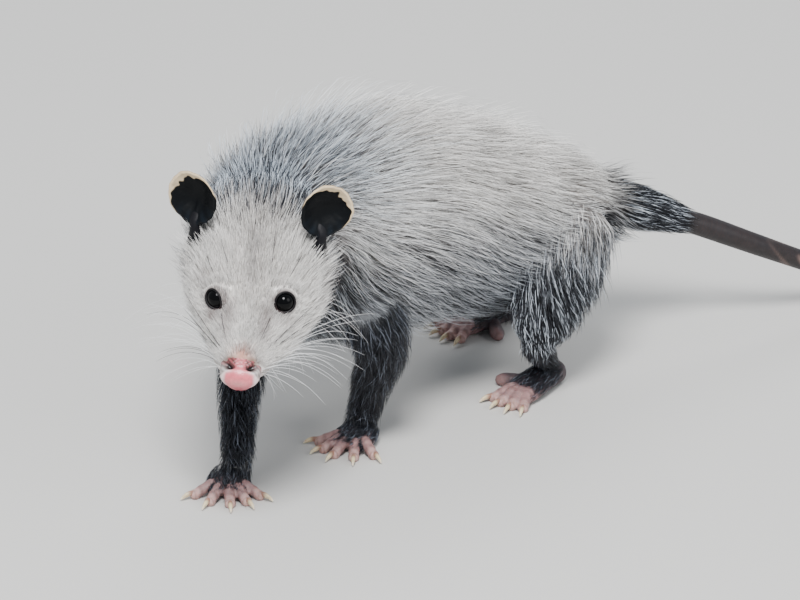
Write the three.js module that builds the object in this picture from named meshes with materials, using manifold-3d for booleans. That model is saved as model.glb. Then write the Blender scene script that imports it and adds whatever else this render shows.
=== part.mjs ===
// A Virginia opossum, life size, walking with its head low and turned to its left, as a museum shows one.
// Millimetres, +Z up. The animal faces -Y, its left side is +X, and its soles lie on z = 0.
// Each named part is one closed solid, and neighbours keep a thin gap where they meet.

import * as THREE from "three";
import { mergeVertices } from "three/addons/utils/BufferGeometryUtils.js";
import Module from "manifold-3d";

const wasm = await Module();
wasm.setup();

// Driving dimensions.
const GAP = 0.35; // clearance where two parts meet
const NOSE_TIP = [51, -203, 107];
const HEAD_TURN = { yaw: 37, pitch: 34, roll: 4.5 }; // degrees: to its left, nose down, left ear down
// The eyes' place in the head, from the nose tip. The left one lies further back by twice the skew.
const EYE = { back: 48.8, skew: 1, aside: 21.1, high: 15, radius: 6.4, lid: 1.2 };
const EAR = { back: 90, aside: 38, high: 16, stem: 7, width: 33, height: 37, depth: 9, wall: 1.6 };
const CLAW = { front: 7, hind: 7, radius: 1.5 };
const TOE = { front: 18, hind: 19, radius: 4.2 };
const SOLE_PRESS = 0.8; // how far the soft soles are pressed in before they are cut flat
const SHORTEST_EDGE = 0.03;
const CORE_SHARE = 0.5; // the inner half of the coat is a solid core, and the locks reach out to its tips
const LOCK = { length: 53, width: 29, thick: 4, apart: 35, row: 35 }; // on the trunk
const THIGH_LOCK = { length: 38, width: 22, thick: 3.4, apart: 26, row: 25 };
const TAIL_LOCK = { length: 30, width: 15, thick: 2.4, apart: 20, row: 18 };
const SEAM_CLEAR = 17; // no lock is rooted this near a seam, so that those that overhang it have room
const LOCK_ROOT = 0.4; // how deep a lock is rooted under the core, by the depth that it rises above it

const degrees = THREE.MathUtils.degToRad;
const point = (x, y, z) => new THREE.Vector3(x, y, z);
const UP = point(0, 0, 1);

// A run of stations, each with a centre and the half sizes of its section: w across, up and down.
// Both go smoothly from station to station, and t is the share of the way along.
function run(stations, upward = UP) {
  const smooth = (points) => new THREE.CatmullRomCurve3(points, false, "catmullrom", 0.5);
  const centre = smooth(stations.map((s) => (s.at.isVector3 ? s.at : point(...s.at))));
  const size = smooth(stations.map((s) => point(s.w, s.up ?? s.w, s.down ?? s.up ?? s.w)));
  const frame = (t) => {
    const along = centre.getTangent(t);
    const side = point(0, 0, 0).crossVectors(along, upward).normalize();
    return { along, side, up: point(0, 0, 0).crossVectors(side, along) };
  };
  return { centre, size, frame };
}

// The point of a run's surface at share t and angle a, moved out by grow.
function onRun(way, t, a, grow = 0) {
  const { side, up } = way.frame(t);
  const half = way.size.getPoint(t);
  const rise = Math.sin(a);
  return way.centre
    .getPoint(t)
    .addScaledVector(side, Math.cos(a) * (half.x + grow))
    .addScaledVector(up, rise * ((rise > 0 ? half.y : half.z) + grow));
}

// A closed tube over part of a run, with flat ends.
function tube(way, { from = 0, to = 1, rings = 8, sides = 12, grow = 0 } = {}) {
  const end = (t, push) => way.frame(t).along.multiplyScalar(push * grow);
  return wrap(sides, rings + 2, (row, a) => {
    if (row === 0) return way.centre.getPoint(from).add(end(from, -1));
    if (row === rings + 2) return way.centre.getPoint(to).add(end(to, 1));
    const t = from + ((to - from) * (row - 1)) / rings;
    const p = onRun(way, t, a, grow);
    if (row === 1) p.add(end(from, -1));
    if (row === rings + 1) p.add(end(to, 1));
    return p;
  });
}

// A sphere's grid of rows and angles moved to the points that place(row, angle) gives, as a solid.
function wrap(sides, rows, place) {
  const g = new THREE.SphereGeometry(1, sides, rows);
  const { position, uv } = g.attributes;
  for (let i = 0; i < position.count; i++) {
    const column = Math.round(uv.getX(i) * sides - 0.01) % sides;
    const p = place(Math.round((1 - uv.getY(i)) * rows), (column / sides) * 2 * Math.PI);
    position.setXYZ(i, p.x, p.y, p.z);
  }
  return solid(g);
}

// A closed geometry as a solid with its faces pointing out.
function solid(geometry) {
  const g = geometry.clone();
  for (const name of Object.keys(g.attributes)) {
    if (name !== "position") g.deleteAttribute(name);
  }
  const merged = mergeVertices(g, 1e-4);
  const vertProperties = new Float32Array(merged.attributes.position.array);
  const triVerts = new Uint32Array(merged.index.array);
  const made = new wasm.Manifold(new wasm.Mesh({ numProp: 3, vertProperties, triVerts }));
  if (made.volume() >= 0) return made;
  for (let i = 0; i < triVerts.length; i += 3) triVerts.subarray(i, i + 3).reverse();
  return new wasm.Manifold(new wasm.Mesh({ numProp: 3, vertProperties, triVerts }));
}

// An ellipsoid at a point, with half sizes along three directions.
function egg(centre, axes, sizes, sides = 12, rings = 8) {
  const basis = new THREE.Matrix4().makeBasis(...axes).setPosition(centre);
  const g = new THREE.SphereGeometry(1, sides, rings).scale(...sizes).applyMatrix4(basis);
  return solid(g);
}

// Seeded random numbers from -1 to 1, the same on every run.
function dice(seed) {
  let state = seed;
  return () => {
    state = (state * 1664525 + 1013904223) % 4294967296;
    return state / 2147483648 - 1;
  };
}

// A run out to the tips of a coat, with its core under it.
function coated(stations, upward) {
  const thinner = ({ at, w, up = w, down = up, coat = 0 }) => {
    const left = coat * CORE_SHARE;
    return { at, w: w - left, up: up - left, down: down - left };
  };
  return { core: run(stations.map(thinner), upward), tips: run(stations, upward) };
}

// Rows along a lock, from its root to its tip: the share of its length, and its half width and thickness.
const LOCK_ROWS = [[0, 0, 0], [0.18, 0.4, 0.5], [0.45, 0.5, 0.46], [0.76, 0.3, 0.36], [1, 0, 0]];

// A lock's section, by its half width and thickness: a low triangle, its ridge outwards,
// or the room round one.
function lockSection(broad, deep, grow) {
  const [edge, low] = [broad + grow, -deep / 2];
  if (grow === 0) return [[0, deep], [edge, low], [-edge, low]];
  return [[0, deep + grow], [edge, low + grow], [edge, low - grow], [-edge, low - grow], [-edge, low + grow]];
}

// A lock of hair, flat and tapered. It is rooted under the core's surface at share t and angle a, lies back
// along it, turns by drift on its way, and lifts in a bend to the tips of the coat.
function lock({ core, tips }, t, a, { length, width, thick, drift }, grow = 0) {
  const reach = length / core.centre.getLength();
  const rise = (share) => (1 + LOCK_ROOT) * (1 - (1 - share) ** 2) - LOCK_ROOT;
  const at = (share, lift = rise(share)) => {
    const along = THREE.MathUtils.clamp(t + share * reach, 0, 1);
    const angle = a + drift * share;
    return onRun(core, along, angle).lerp(onRun(tips, along, angle), lift);
  };
  const sides = lockSection(0, 0, grow).length;
  return wrap(sides, LOCK_ROWS.length - 1, (row, angle) => {
    const [share, broad, deep] = LOCK_ROWS[row];
    const p = at(share);
    if (broad === 0) {
      const [near] = LOCK_ROWS[row === 0 ? 1 : row - 1];
      return p.addScaledVector(at(near).sub(p).normalize(), -grow);
    }
    const out = at(share, rise(share) + 1).sub(p).normalize();
    const along = at(share + 0.1, rise(share)).sub(at(share - 0.1, rise(share))).normalize();
    const across = point(0, 0, 0).crossVectors(along, out).normalize();
    const column = Math.round((angle / 2 / Math.PI) * sides);
    const [x, y] = lockSection(broad * width, deep * thick, grow)[column];
    return p.addScaledVector(across, x).addScaledVector(out, y);
  });
}

// How far along a run share t is, in millimetres.
const lengthTo = (way, t) => way.centre.getLengths(200)[Math.round(t * 200)];

// Rows of locks over a coat, from one length along it to another. Each row is set between those of the last.
function locks(coat, size, { from, to, seed, droop = 0, bare = () => false, grow = 0 }) {
  const roll = dice(seed);
  const whole = coat.core.centre.getLength();
  const made = [];
  const rows = Math.round((to - from) / size.row);
  for (let row = 0; row <= rows; row++) {
    const start = from + ((to - from) * row) / rows;
    const t = coat.core.centre.getUtoTmapping(start / whole);
    const half = coat.core.size.getPoint(t);
    const count = Math.round((Math.PI * (half.x + (half.y + half.z) / 2)) / size.apart);
    for (let i = 0; i < count; i++) {
      const a = ((i + row / 2 + 0.12 * roll()) / count) * 2 * Math.PI;
      const length = Math.min(size.length * (1 + 0.12 * roll()), whole - start);
      const width = size.width * (1 + 0.1 * roll());
      const drift = -droop * Math.cos(a) + 0.05 * roll();
      if (!bare(a, t)) made.push(lock(coat, t, a, { ...size, length, width, drift }, grow));
    }
  }
  return made;
}

const join = (...solids) => solids.flat().reduce((all, s) => all.add(s));
const cut = (body, ...cutters) => cutters.flat().reduce((left, c) => left.subtract(c), body);
const floor = solid(new THREE.BoxGeometry(900, 1200, 60).translate(0, 0, -30));
const onFloor = (body) => cut(body, floor);

const look = (color, roughness) => new THREE.MeshStandardMaterial({ color, roughness, metalness: 0 });
const LOOKS = {
  face: look(0xd9d3cc, 0.9),
  coat: look(0xa9a7a6, 0.95),
  darkFur: look(0x2a2930, 0.85),
  nose: look(0xe7a6a6, 0.35),
  ear: look(0x1a1c22, 0.55),
  eye: look(0x06070b, 0.05),
  tail: look(0xb89a92, 0.6),
  paw: look(0x8f7078, 0.6),
  claw: look(0xd8c79a, 0.4),
};

const opossum = new THREE.Group();

// The surface of a solid. Where a cut leaves an edge too short to matter, its two ends become one point.
function surface(body) {
  const { vertProperties, triVerts } = body.getMesh();
  const position = new THREE.BufferAttribute(vertProperties, 3);
  const corners = Array.from({ length: triVerts.length / 3 }, (_, i) => triVerts.slice(3 * i, 3 * i + 3));
  const at = (i) => point(0, 0, 0).fromBufferAttribute(position, i);
  const owner = Array.from({ length: position.count }, (_, i) => i);
  const find = (i) => (owner[i] === i ? i : find(owner[i]));
  for (const [a, b, c] of corners) {
    for (const [from, to] of [[a, b], [b, c], [c, a]]) {
      if (at(from).distanceTo(at(to)) < SHORTEST_EDGE) owner[find(from)] = find(to);
    }
  }
  const kept = corners.map((three) => Array.from(three, find)).filter((three) => new Set(three).size === 3);
  const g = new THREE.BufferGeometry();
  g.setAttribute("position", position);
  g.setIndex(kept.flat());
  return g;
}

// Adds a named part to the animal. What a union or a cut leaves loose is dropped.
function part(name, body, material) {
  const whole = body.decompose().sort((a, b) => b.volume() - a.volume())[0];
  const mesh = new THREE.Mesh(surface(whole), material);
  mesh.name = name;
  opossum.add(mesh);
}

// The head's own directions, and a point in it: back from the tip of the nose, aside to its left, and high.
const turn = new THREE.Matrix4()
  .makeRotationZ(degrees(HEAD_TURN.yaw))
  .multiply(new THREE.Matrix4().makeRotationX(degrees(HEAD_TURN.pitch)))
  .multiply(new THREE.Matrix4().makeRotationY(degrees(HEAD_TURN.roll)));
const headAxes = { left: point(1, 0, 0), back: point(0, 1, 0), up: point(0, 0, 1) };
for (const axis of Object.values(headAxes)) axis.transformDirection(turn);
const headPoint = (back, aside, high) =>
  point(...NOSE_TIP)
    .addScaledVector(headAxes.back, back)
    .addScaledVector(headAxes.left, aside)
    .addScaledVector(headAxes.up, high);
const headWay = (back, aside, high) => headPoint(back, aside, high).sub(point(...NOSE_TIP)).normalize();
const headRun = (stations) =>
  run(
    stations.map(([back, high, w, up, down, aside = 0]) => {
      return { at: headPoint(back, aside, high), w, up, down };
    }),
    headAxes.up,
  );

// Rows of: back, height of the centre, half width, up and down. The lower jaw is a part of its own.
const SKULL = [
  [6.5, 0, 10.4, 6.8, 7.4],
  [10, 0, 14, 9.2, 8.6],
  [17, 0, 20.6, 11.5, 10],
  [28, 0, 27, 14.5, 12.5],
  [40, 0, 33, 18, 16],
  [54, 0, 39.5, 23, 22],
  [70, 0, 45, 28, 28, 1],
  [86, 0, 47.5, 31, 31, 1.5],
  [102, 0, 46, 32, 32, 1.5],
  [117, 0, 38, 28, 30, 1],
  [130, -2, 22, 16, 18],
];
const JAW = [
  [9, -7.8, 5, 2.2, 2.6],
  [17, -9.8, 10.5, 3.4, 4.4],
  [30, -12.6, 16, 4.4, 6],
  [44, -16, 21, 5.5, 7.5],
  [58, -19.5, 24.5, 6, 7.5],
  [70, -21.5, 19, 3, 4.5],
];
const RHINARIUM = [
  [-3.5, -1, 6.5, 4, 4.5],
  [-1.5, -0.6, 10.6, 7, 7.4],
  [2.5, 0, 12.6, 8.8, 9],
  [6.5, 0, 12.8, 8.8, 8],
  [8.3, 0.8, 12.2, 7.8, 5.6],
  [12, 1, 10.5, 6.2, 4.4],
];
const sides = { right: -1, left: 1 };

// The lips: the upper one hangs along the edge of the skull, the lower one rims the jaw.
const upperLip = (side) =>
  tube(headRun([[7, -6.5, 2.4, 2.6, 2.6, side * 7], [16, -8.5, 2.8, 3, 3, side * 14],
    [30, -11, 2.8, 3.2, 3.2, side * 21], [44, -14, 2.4, 3, 3, side * 26.5],
    [57, -18.5, 1.5, 2, 2, side * 30.5]]), { rings: 7, sides: 6 });
const lowerLip = (side, grow) =>
  tube(headRun([[11, -8.2, 1.5, 1.5, 1.5, side * 5], [18, -10, 1.7, 1.7, 1.7, side * 10.5],
    [30, -13, 1.7, 1.8, 1.8, side * 15.5], [44, -16.5, 1.6, 1.8, 1.8, side * 20.5],
    [58, -20.5, 1.2, 1.5, 1.5, side * 24]]), { rings: 7, sides: 5, grow });
const jaw = (grow = 0) =>
  join(tube(headRun(JAW), { rings: 8, sides: 12, grow }), lowerLip(-1, grow), lowerLip(1, grow));

// The nose: a bare pad with a groove down its middle. Each nostril is a comma on its upper side, that
// turns out and back.
const headFrame = () => [headAxes.left.clone(), headAxes.back.clone(), headAxes.up.clone()];
function nose(grow = 0) {
  const pad = tube(headRun(RHINARIUM), { rings: 5, sides: 16, grow });
  if (grow) return pad;
  const nostrils = Object.values(sides).flatMap((side) => {
    const long = headWay(0.64, side * 0.77, -0.2);
    const out = headWay(0, side * 0.5, 0.86).projectOnPlane(long).normalize();
    const axes = [point(0, 0, 0).crossVectors(long, out), long, out];
    return [
      egg(headPoint(3.4, side * 6, 7.8), axes, [1.9, 2.7, 2.8], 8, 6),
      egg(headPoint(5.6, side * 8.6, 6.6), axes, [1, 2.8, 2], 6, 4),
    ];
  });
  return cut(pad, nostrils, egg(headPoint(-4, 0, -5), headFrame(), [0.8, 2, 5], 6, 6));
}

// The eyes look out, forwards and a little up. The lids are a rim round an opening in the shape of an almond.
const eyeCentre = (side) => headPoint(EYE.back + side * EYE.skew, side * EYE.aside, EYE.high);
function eyeFrame(side) {
  const out = headWay(-0.55, side * 0.5, 0.67);
  const along = headWay(1, side * 0.55, -0.1).projectOnPlane(out).normalize();
  return [along, point(0, 0, 0).crossVectors(out, along), out];
}
const eyeball = (side, grow = 0) =>
  egg(eyeCentre(side), eyeFrame(side), Array(3).fill(EYE.radius + grow), 14, 7);
function lids(side) {
  const [along, across, out] = eyeFrame(side);
  const r = EYE.radius + EYE.lid;
  const ball = egg(eyeCentre(side).addScaledVector(out, -0.6), [along, across, out], [r + 0.8, r, r], 12, 8);
  const opening = eyeCentre(side).addScaledVector(out, 7);
  return cut(ball, egg(opening, [along, across, out], [6.6, 6, 8], 12, 8));
}

// An ear: a round bare cup on a short stem. The cup is a thin dish that opens forwards and out.
function ear(side, grow = 0) {
  const axis = headWay(0.55, side * 0.1, 0.82);
  const facing = headWay(-0.82, side * 0.38, 0.55).projectOnPlane(axis).normalize();
  const across = point(0, 0, 0).crossVectors(axis, facing);
  const root = headPoint(EAR.back, side * EAR.aside, EAR.high);
  const middle = root.clone().addScaledVector(axis, EAR.stem + EAR.height / 2);
  const rows = 8;
  const shares = [0, 0.45, 0.78, 0.97, 1, 0.97, 0.78, 0.45, 0];
  const dish = wrap(14, rows, (row, a) => {
    const r = shares[row];
    const pinch = 1 - 0.22 * Math.max(0, -Math.sin(a)) ** 2;
    const lie = row < rows / 2 ? 0.5 : row > rows / 2 ? -0.5 : 0;
    return middle
      .clone()
      .addScaledVector(across, Math.cos(a) * (EAR.width / 2 + grow) * r * pinch)
      .addScaledVector(axis, Math.sin(a) * (EAR.height / 2 + grow) * r)
      .addScaledVector(facing, EAR.depth * (r * r - 0.6) + lie * (EAR.wall + 2 * grow));
  });
  const foot = root.clone().addScaledVector(axis, -4);
  const neckOfEar = middle.clone().addScaledVector(axis, -EAR.height * 0.42).addScaledVector(facing, 1);
  const stem = run([{ at: foot, w: 5, up: 3 }, { at: root.clone().addScaledVector(axis, 4), w: 4.6, up: 2.6 },
    { at: neckOfEar, w: 6, up: 1.6 }], facing);
  return join(dish, tube(stem, { rings: 3, sides: 7, grow }));
}

// The trunk from the neck to the root of the tail: sizes out to the tips of the coat, and the coat's depth.
const TRUNK = [
  { at: [4, -140, 162], w: 26, up: 20, down: 26, coat: 4 },
  { at: [-6, -126, 159], w: 46, up: 42, down: 43, coat: 10 },
  { at: [-18, -104, 150], w: 60, up: 61, down: 55, coat: 19 },
  { at: [-27, -76, 138], w: 68, up: 72, down: 68, coat: 25 },
  { at: [-34, -36, 130], w: 72, up: 78, down: 81, coat: 26 },
  { at: [-34, 8, 125], w: 74, up: 78, down: 82, coat: 25 },
  { at: [-27, 52, 117], w: 73, up: 68, down: 77, coat: 24 },
  { at: [-12, 96, 108], w: 66, up: 58, down: 68, coat: 22 },
  { at: [4, 130, 104], w: 48, up: 41, down: 52, coat: 18 },
  { at: [13, 152, 100], w: 26, up: 24, down: 27, coat: 12 },
];
const trunk = coated(TRUNK);
const TRUNK_PARTS = { neck: [0, 0.25], torso: [0.25, 0.67], rump: [0.67, 1] };
const TRUNK_SEAM = 0.0005; // half the gap between two of these parts, as a share of the trunk
const OVERHANG = 0.2; // the most that a lock reaches past a seam, as a share of the trunk

// The tail, heavy and furred at its root, then bare, down to the floor. It is round, so w serves all ways.
const TAIL = [
  { at: [9, 143, 102], w: 18, coat: 6 },
  { at: [18, 165, 97], w: 17, coat: 6 },
  { at: [27, 183, 90], w: 14.6, coat: 5 },
  { at: [35, 200, 82], w: 10.4, coat: 3.5 },
  { at: [44, 218, 73], w: 7.4 },
  { at: [62, 252, 54], w: 6.9 },
  { at: [76, 290, 33], w: 6.2 },
  { at: [84, 325, 15], w: 5.4 },
  { at: [86, 358, 5.5], w: 4.7 },
  { at: [82, 390, 3.3], w: 4 },
  { at: [72, 416, 2.6], w: 3.2 },
  { at: [60, 432, 1.6], w: 2.2 },
];
const tail = coated(TAIL);
const TAIL_PARTS = { tail_1: [0, 0.26], tail_2: [0.26, 0.5], tail_3: [0.5, 0.74], tail_4: [0.74, 1] };
const TAIL_SEAM = 0.0006;

// The limbs, from the body down. Sizes are out to the tips of the fur.
const FORELEGS = {
  right: [
    { at: [-62, -80, 120], w: 20, up: 24 },
    { at: [-60, -92, 94], w: 18, up: 20 },
    { at: [-49, -103, 68], w: 14, up: 15 },
    { at: [-28, -128, 42], w: 11, up: 11.5 },
    { at: [-10, -147, 22], w: 9.5, up: 9 },
    { at: [-5, -153, 13], w: 10.5, up: 8 },
  ],
  left: [
    { at: [14, -66, 116], w: 20, up: 24 },
    { at: [20, -58, 90], w: 18, up: 20 },
    { at: [21, -52, 66], w: 14, up: 15 },
    { at: [12, -51, 42], w: 11, up: 11.5 },
    { at: [5, -51, 22], w: 9.5, up: 9 },
    { at: [4, -53, 13], w: 10.5, up: 8 },
  ],
};
const THIGHS = {
  left: [
    { at: [12, 118, 112], w: 28, up: 32, down: 20 },
    { at: [19, 103, 96], w: 38, up: 39, down: 22, coat: 8 },
    { at: [30, 86, 75], w: 38, up: 33, down: 20, coat: 13 },
    { at: [38, 73, 56], w: 30, up: 25, down: 18, coat: 12 },
    { at: [42, 66, 44], w: 20, up: 16, down: 14, coat: 4 },
    { at: [43, 63, 37], w: 11, up: 8, down: 8 },
  ],
  right: [
    { at: [-36, 114, 112], w: 28, up: 20, down: 32 },
    { at: [-46, 108, 96], w: 38, up: 22, down: 39, coat: 8 },
    { at: [-55, 102, 75], w: 37, up: 20, down: 33, coat: 13 },
    { at: [-60, 98, 57], w: 30, up: 18, down: 25, coat: 12 },
    { at: [-63, 96, 45], w: 20, up: 14, down: 15, coat: 4 },
    { at: [-63, 96, 38], w: 11, up: 8, down: 8 },
  ],
};
const SHANKS = {
  left: [
    { at: [42, 60, 50], w: 12, up: 11 },
    { at: [39, 70, 36], w: 10, up: 11 },
    { at: [34, 82, 20], w: 8, up: 8.5 },
    { at: [33, 85, 12], w: 8.5, up: 8 },
  ],
  right: [
    { at: [-62, 96, 52], w: 12, up: 11 },
    { at: [-60, 112, 38], w: 10, up: 11 },
    { at: [-56, 130, 21], w: 8, up: 8.5 },
    { at: [-55, 133, 12], w: 8.5, up: 8 },
  ],
};
const ahead = point(0, -1, 0);
const outward = point(1, 0, 0);
const foreleg = (side, grow) => tube(run(FORELEGS[side], ahead), { rings: 9, sides: 12, grow });
const THIGH_HAIR = { from: 26, to: 52, seed: 31 }; // its rows of locks, by the length down the thigh
function thigh(side, grow = 0) {
  const coat = coated(THIGHS[side], outward);
  const inner = sides[side] * -1;
  const hidden = (a) => Math.sin(a) * inner > 0.35;
  const hair = locks(coat, THIGH_LOCK, { ...THIGH_HAIR, bare: hidden, grow });
  return join(tube(coat.core, { rings: 8, sides: 16, grow }), hair);
}
const shank = (side, grow) => tube(run(SHANKS[side], ahead), { rings: 6, sides: 10, grow });

// Feet. A heading and the toes' spread are degrees in plan, from -Y round towards the animal's left.
const planWay = (angle) => point(Math.sin(degrees(angle)), -Math.cos(degrees(angle)), 0);
const HANDS = {
  right: { palm: [-3, -162], heading: 45, spread: [58, 30, 4, -28, -62] },
  left: { palm: [7, -61], heading: 14, spread: [-58, -30, -4, 28, 60] },
};
const SOLES = {
  left: { heel: [32, 90], heading: 6, spread: [-27, -9, 9, 26], thumb: -78 },
  right: { heel: [-56, 138], heading: -10, spread: [27, 9, -9, -26], thumb: 78 },
};

// One toe, arched at its knuckle, from its root on the foot to a rounded tip on the floor.
function toeRun(root, way, length) {
  const at = (share, z) => root.clone().addScaledVector(way, share * length).setZ(z);
  const r = TOE.radius;
  return run([{ at: at(-0.25, 7), w: r }, { at: at(0.2, 7), w: r }, { at: at(0.55, 5.6), w: r * 0.88 },
    { at: at(0.85, 3.2), w: r * 0.86 }, { at: at(1, 2.8), w: r * 0.5 }], UP);
}
const toe = (root, way, length) => tube(toeRun(root, way, length), { rings: 4, sides: 6 });

// A claw, rooted in the tip of its toe, that curves down to just over the floor.
function claw(root, way, toeLength, length, grow = 0) {
  const at = (share, z) => root.clone().addScaledVector(way, toeLength + share * length).setZ(z);
  const r = CLAW.radius;
  const stations = [
    { at: at(-0.35, 4), w: r * 0.9 },
    { at: at(0.15, 4.3), w: r },
    { at: at(0.6, 3.5), w: r * 0.75 },
    { at: at(1, 1.1), w: 0.3 },
  ];
  return tube(run(stations), { rings: 3, sides: 5, grow });
}

function hand(side) {
  const { palm, heading, spread } = HANDS[side];
  const middle = point(palm[0], palm[1], 6);
  const forward = planWay(heading);
  const across = planWay(heading + 90);
  const body = egg(middle, [across, forward, UP], [13, 14, 7], 10, 6);
  const roots = spread.map((angle) => {
    const way = planWay(heading + angle);
    return { way, root: middle.clone().addScaledVector(way, 8) };
  });
  return { body: join(body, roots.map(({ root, way }) => toe(root, way, TOE.front))), roots };
}

function sole(side) {
  const { heel, heading, spread, thumb } = SOLES[side];
  const forward = planWay(heading);
  const at = (back, z) => point(heel[0], heel[1], z).addScaledVector(forward, back);
  const stations = [
    { at: at(-9, 7), w: 4 },
    { at: at(-5, 7.5), w: 8, up: 7.5 },
    { at: at(6, 8), w: 9.5, up: 8 },
    { at: at(22, 6.5), w: 12, up: 6.5 },
    { at: at(34, 5), w: 12, up: 5 },
    { at: at(38, 5), w: 8, up: 4 },
  ];
  const long = tube(run(stations), { rings: 6, sides: 10 });
  const roots = spread.map((angle) => {
    const way = planWay(heading + angle);
    return { way, root: at(20, 6).addScaledVector(way, 11) };
  });
  const inward = planWay(heading + thumb);
  const thumbStations = [
    { at: at(12, 6), w: 5 },
    { at: at(15, 5.5).addScaledVector(inward, 12), w: 4.6 },
    { at: at(17, 4.4).addScaledVector(inward, 22), w: 5 },
    { at: at(18, 3.6).addScaledVector(inward, 27), w: 2.6 },
  ];
  const big = tube(run(thumbStations), { rings: 5, sides: 6 });
  return { body: join(long, big, roots.map(({ root, way }) => toe(root, way, TOE.hind))), roots };
}

// The whole animal. Each part is cut clear of those that grow from it.
const bareSkull = (grow) => tube(headRun(SKULL), { rings: 15, sides: 20, grow });
const skull = join(bareSkull(0), upperLip(-1), upperLip(1), lids(-1), lids(1));
const eyeballs = Object.values(sides).map((side) => eyeball(side, GAP));
const earRoots = Object.values(sides).map((side) => ear(side, GAP));
part("head", cut(skull, jaw(GAP), nose(GAP), eyeballs, earRoots), LOOKS.face);
part("lower_jaw", jaw(), LOOKS.face);
part("nose", nose(), LOOKS.nose);
for (const [name, side] of Object.entries(sides)) {
  part("eye_" + name, eyeball(side), LOOKS.eye);
  part("ear_" + name, ear(side), LOOKS.ear);
}

const headRoom = [bareSkull(GAP), jaw(GAP), ...earRoots];
const limbRoom = Object.keys(sides).flatMap((side) => [foreleg, thigh, shank].map((limb) => limb(side, GAP)));
const TAIL_HAIR = { from: 16, to: 34, seed: 5 }; // the fur of the tail's root, by the length along it
const tailRoot = (grow = 0) => [
  tube(tail.core, { to: TAIL_PARTS.tail_1[1] - TAIL_SEAM, rings: 5, sides: 10, grow }),
  ...locks(tail, TAIL_LOCK, { ...TAIL_HAIR, grow }),
];
const tailRoom = tailRoot(GAP);
const lastRow = trunk.core.centre.getLength() - LOCK.length / 2;
const belly = (a) => Math.sin(a) < -0.86; // the fur is short there
for (const [name, [from, to]] of Object.entries(TRUNK_PARTS)) {
  const length = (start, end, rings, grow) =>
    tube(trunk.core, { from: start, to: end, rings, sides: 20, grow });
  const core = length(from + TRUNK_SEAM, to - TRUNK_SEAM, 5, 0);
  const next = to < 1 ? length(to + TRUNK_SEAM, to + OVERHANG, 4, GAP) : [];
  const start = lengthTo(trunk.core, from) + SEAM_CLEAR;
  const end = Math.min(lengthTo(trunk.core, to) - SEAM_CLEAR, lastRow);
  const coat = locks(trunk, LOCK, { from: start, to: end, seed: 7, droop: 0.2, bare: belly });
  part(name, cut(join(core, coat), next, headRoom, limbRoom, tailRoom), LOOKS.coat);
}
part("tail_1", join(tailRoot()), LOOKS.darkFur);
for (const [name, [from, to]] of Object.entries(TAIL_PARTS)) {
  const whole = tube(tail.core, { from: from + TAIL_SEAM, to: to - TAIL_SEAM, rings: 5, sides: 10 });
  if (name !== "tail_1") part(name, cut(onFloor(whole), name === "tail_2" ? tailRoom : []), LOOKS.tail);
}

for (const side of Object.keys(sides)) {
  const front = hand(side);
  const hind = sole(side);
  part("foreleg_" + side, cut(foreleg(side), headRoom), LOOKS.darkFur);
  part("thigh_" + side, cut(thigh(side), tailRoom), LOOKS.darkFur);
  part("shank_" + side, cut(shank(side), thigh(side, GAP)), LOOKS.darkFur);
  const claws = { front: [], hind: [] };
  front.roots.forEach(({ root, way }, i) => {
    claws.front.push(claw(root, way, TOE.front, CLAW.front, GAP));
    part(`claw_front_${side}_${i + 1}`, claw(root, way, TOE.front, CLAW.front), LOOKS.claw);
  });
  hind.roots.forEach(({ root, way }, i) => {
    claws.hind.push(claw(root, way, TOE.hind, CLAW.hind, GAP));
    part(`claw_hind_${side}_${i + 1}`, claw(root, way, TOE.hind, CLAW.hind), LOOKS.claw);
  });
  const pressed = (body) => onFloor(body.translate([0, 0, -SOLE_PRESS]));
  part("front_foot_" + side, cut(pressed(front.body), foreleg(side, GAP), claws.front), LOOKS.paw);
  part("hind_foot_" + side, cut(pressed(hind.body), shank(side, GAP), claws.hind), LOOKS.paw);
}

// The origin is under the middle of the animal's box.
const box = new THREE.Box3().setFromObject(opossum);
const middle = box.getCenter(point(0, 0, 0));
opossum.position.set(-middle.x, -middle.y, -box.min.z);

export default opossum;
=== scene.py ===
import bpy
import numpy as np
from mathutils import Matrix, Vector


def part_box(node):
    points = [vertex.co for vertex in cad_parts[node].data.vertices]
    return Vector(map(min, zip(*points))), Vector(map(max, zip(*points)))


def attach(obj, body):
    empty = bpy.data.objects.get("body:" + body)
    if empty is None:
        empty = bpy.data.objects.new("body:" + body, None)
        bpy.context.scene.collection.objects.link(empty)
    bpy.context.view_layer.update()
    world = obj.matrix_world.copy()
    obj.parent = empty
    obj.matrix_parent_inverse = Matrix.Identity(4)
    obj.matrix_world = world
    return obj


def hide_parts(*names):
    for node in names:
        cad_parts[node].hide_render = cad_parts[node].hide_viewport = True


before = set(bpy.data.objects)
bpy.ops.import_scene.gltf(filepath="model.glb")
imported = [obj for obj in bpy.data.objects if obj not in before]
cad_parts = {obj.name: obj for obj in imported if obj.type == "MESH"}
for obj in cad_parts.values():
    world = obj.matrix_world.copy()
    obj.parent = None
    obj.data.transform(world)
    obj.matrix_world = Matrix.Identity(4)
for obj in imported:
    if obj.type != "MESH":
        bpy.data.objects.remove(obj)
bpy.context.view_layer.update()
print("frame loaded")

# Shapes are worked out in the animal's own millimetres and moved into the frame's metres at the end.


def unit(v):
    # a vector over its own length
    return v / np.maximum(np.linalg.norm(v, axis=-1, keepdims=True), 1e-9)


def blend(a, b, share):
    # a at share 0, b at share 1 and a straight mix between
    return a + (b - a) * share


def ease(x, low, high):
    # 0 up to low and 1 from high on, with 3 s squared less 2 s cubed between them
    s = np.clip((x - low) / (high - low), 0, 1)
    return s * s * (3 - 2 * s)


def bell(x, middle, width):
    # e to the minus square of the distance from the middle, counted in widths
    return np.exp(-(((x - middle) / width) ** 2))


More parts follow.
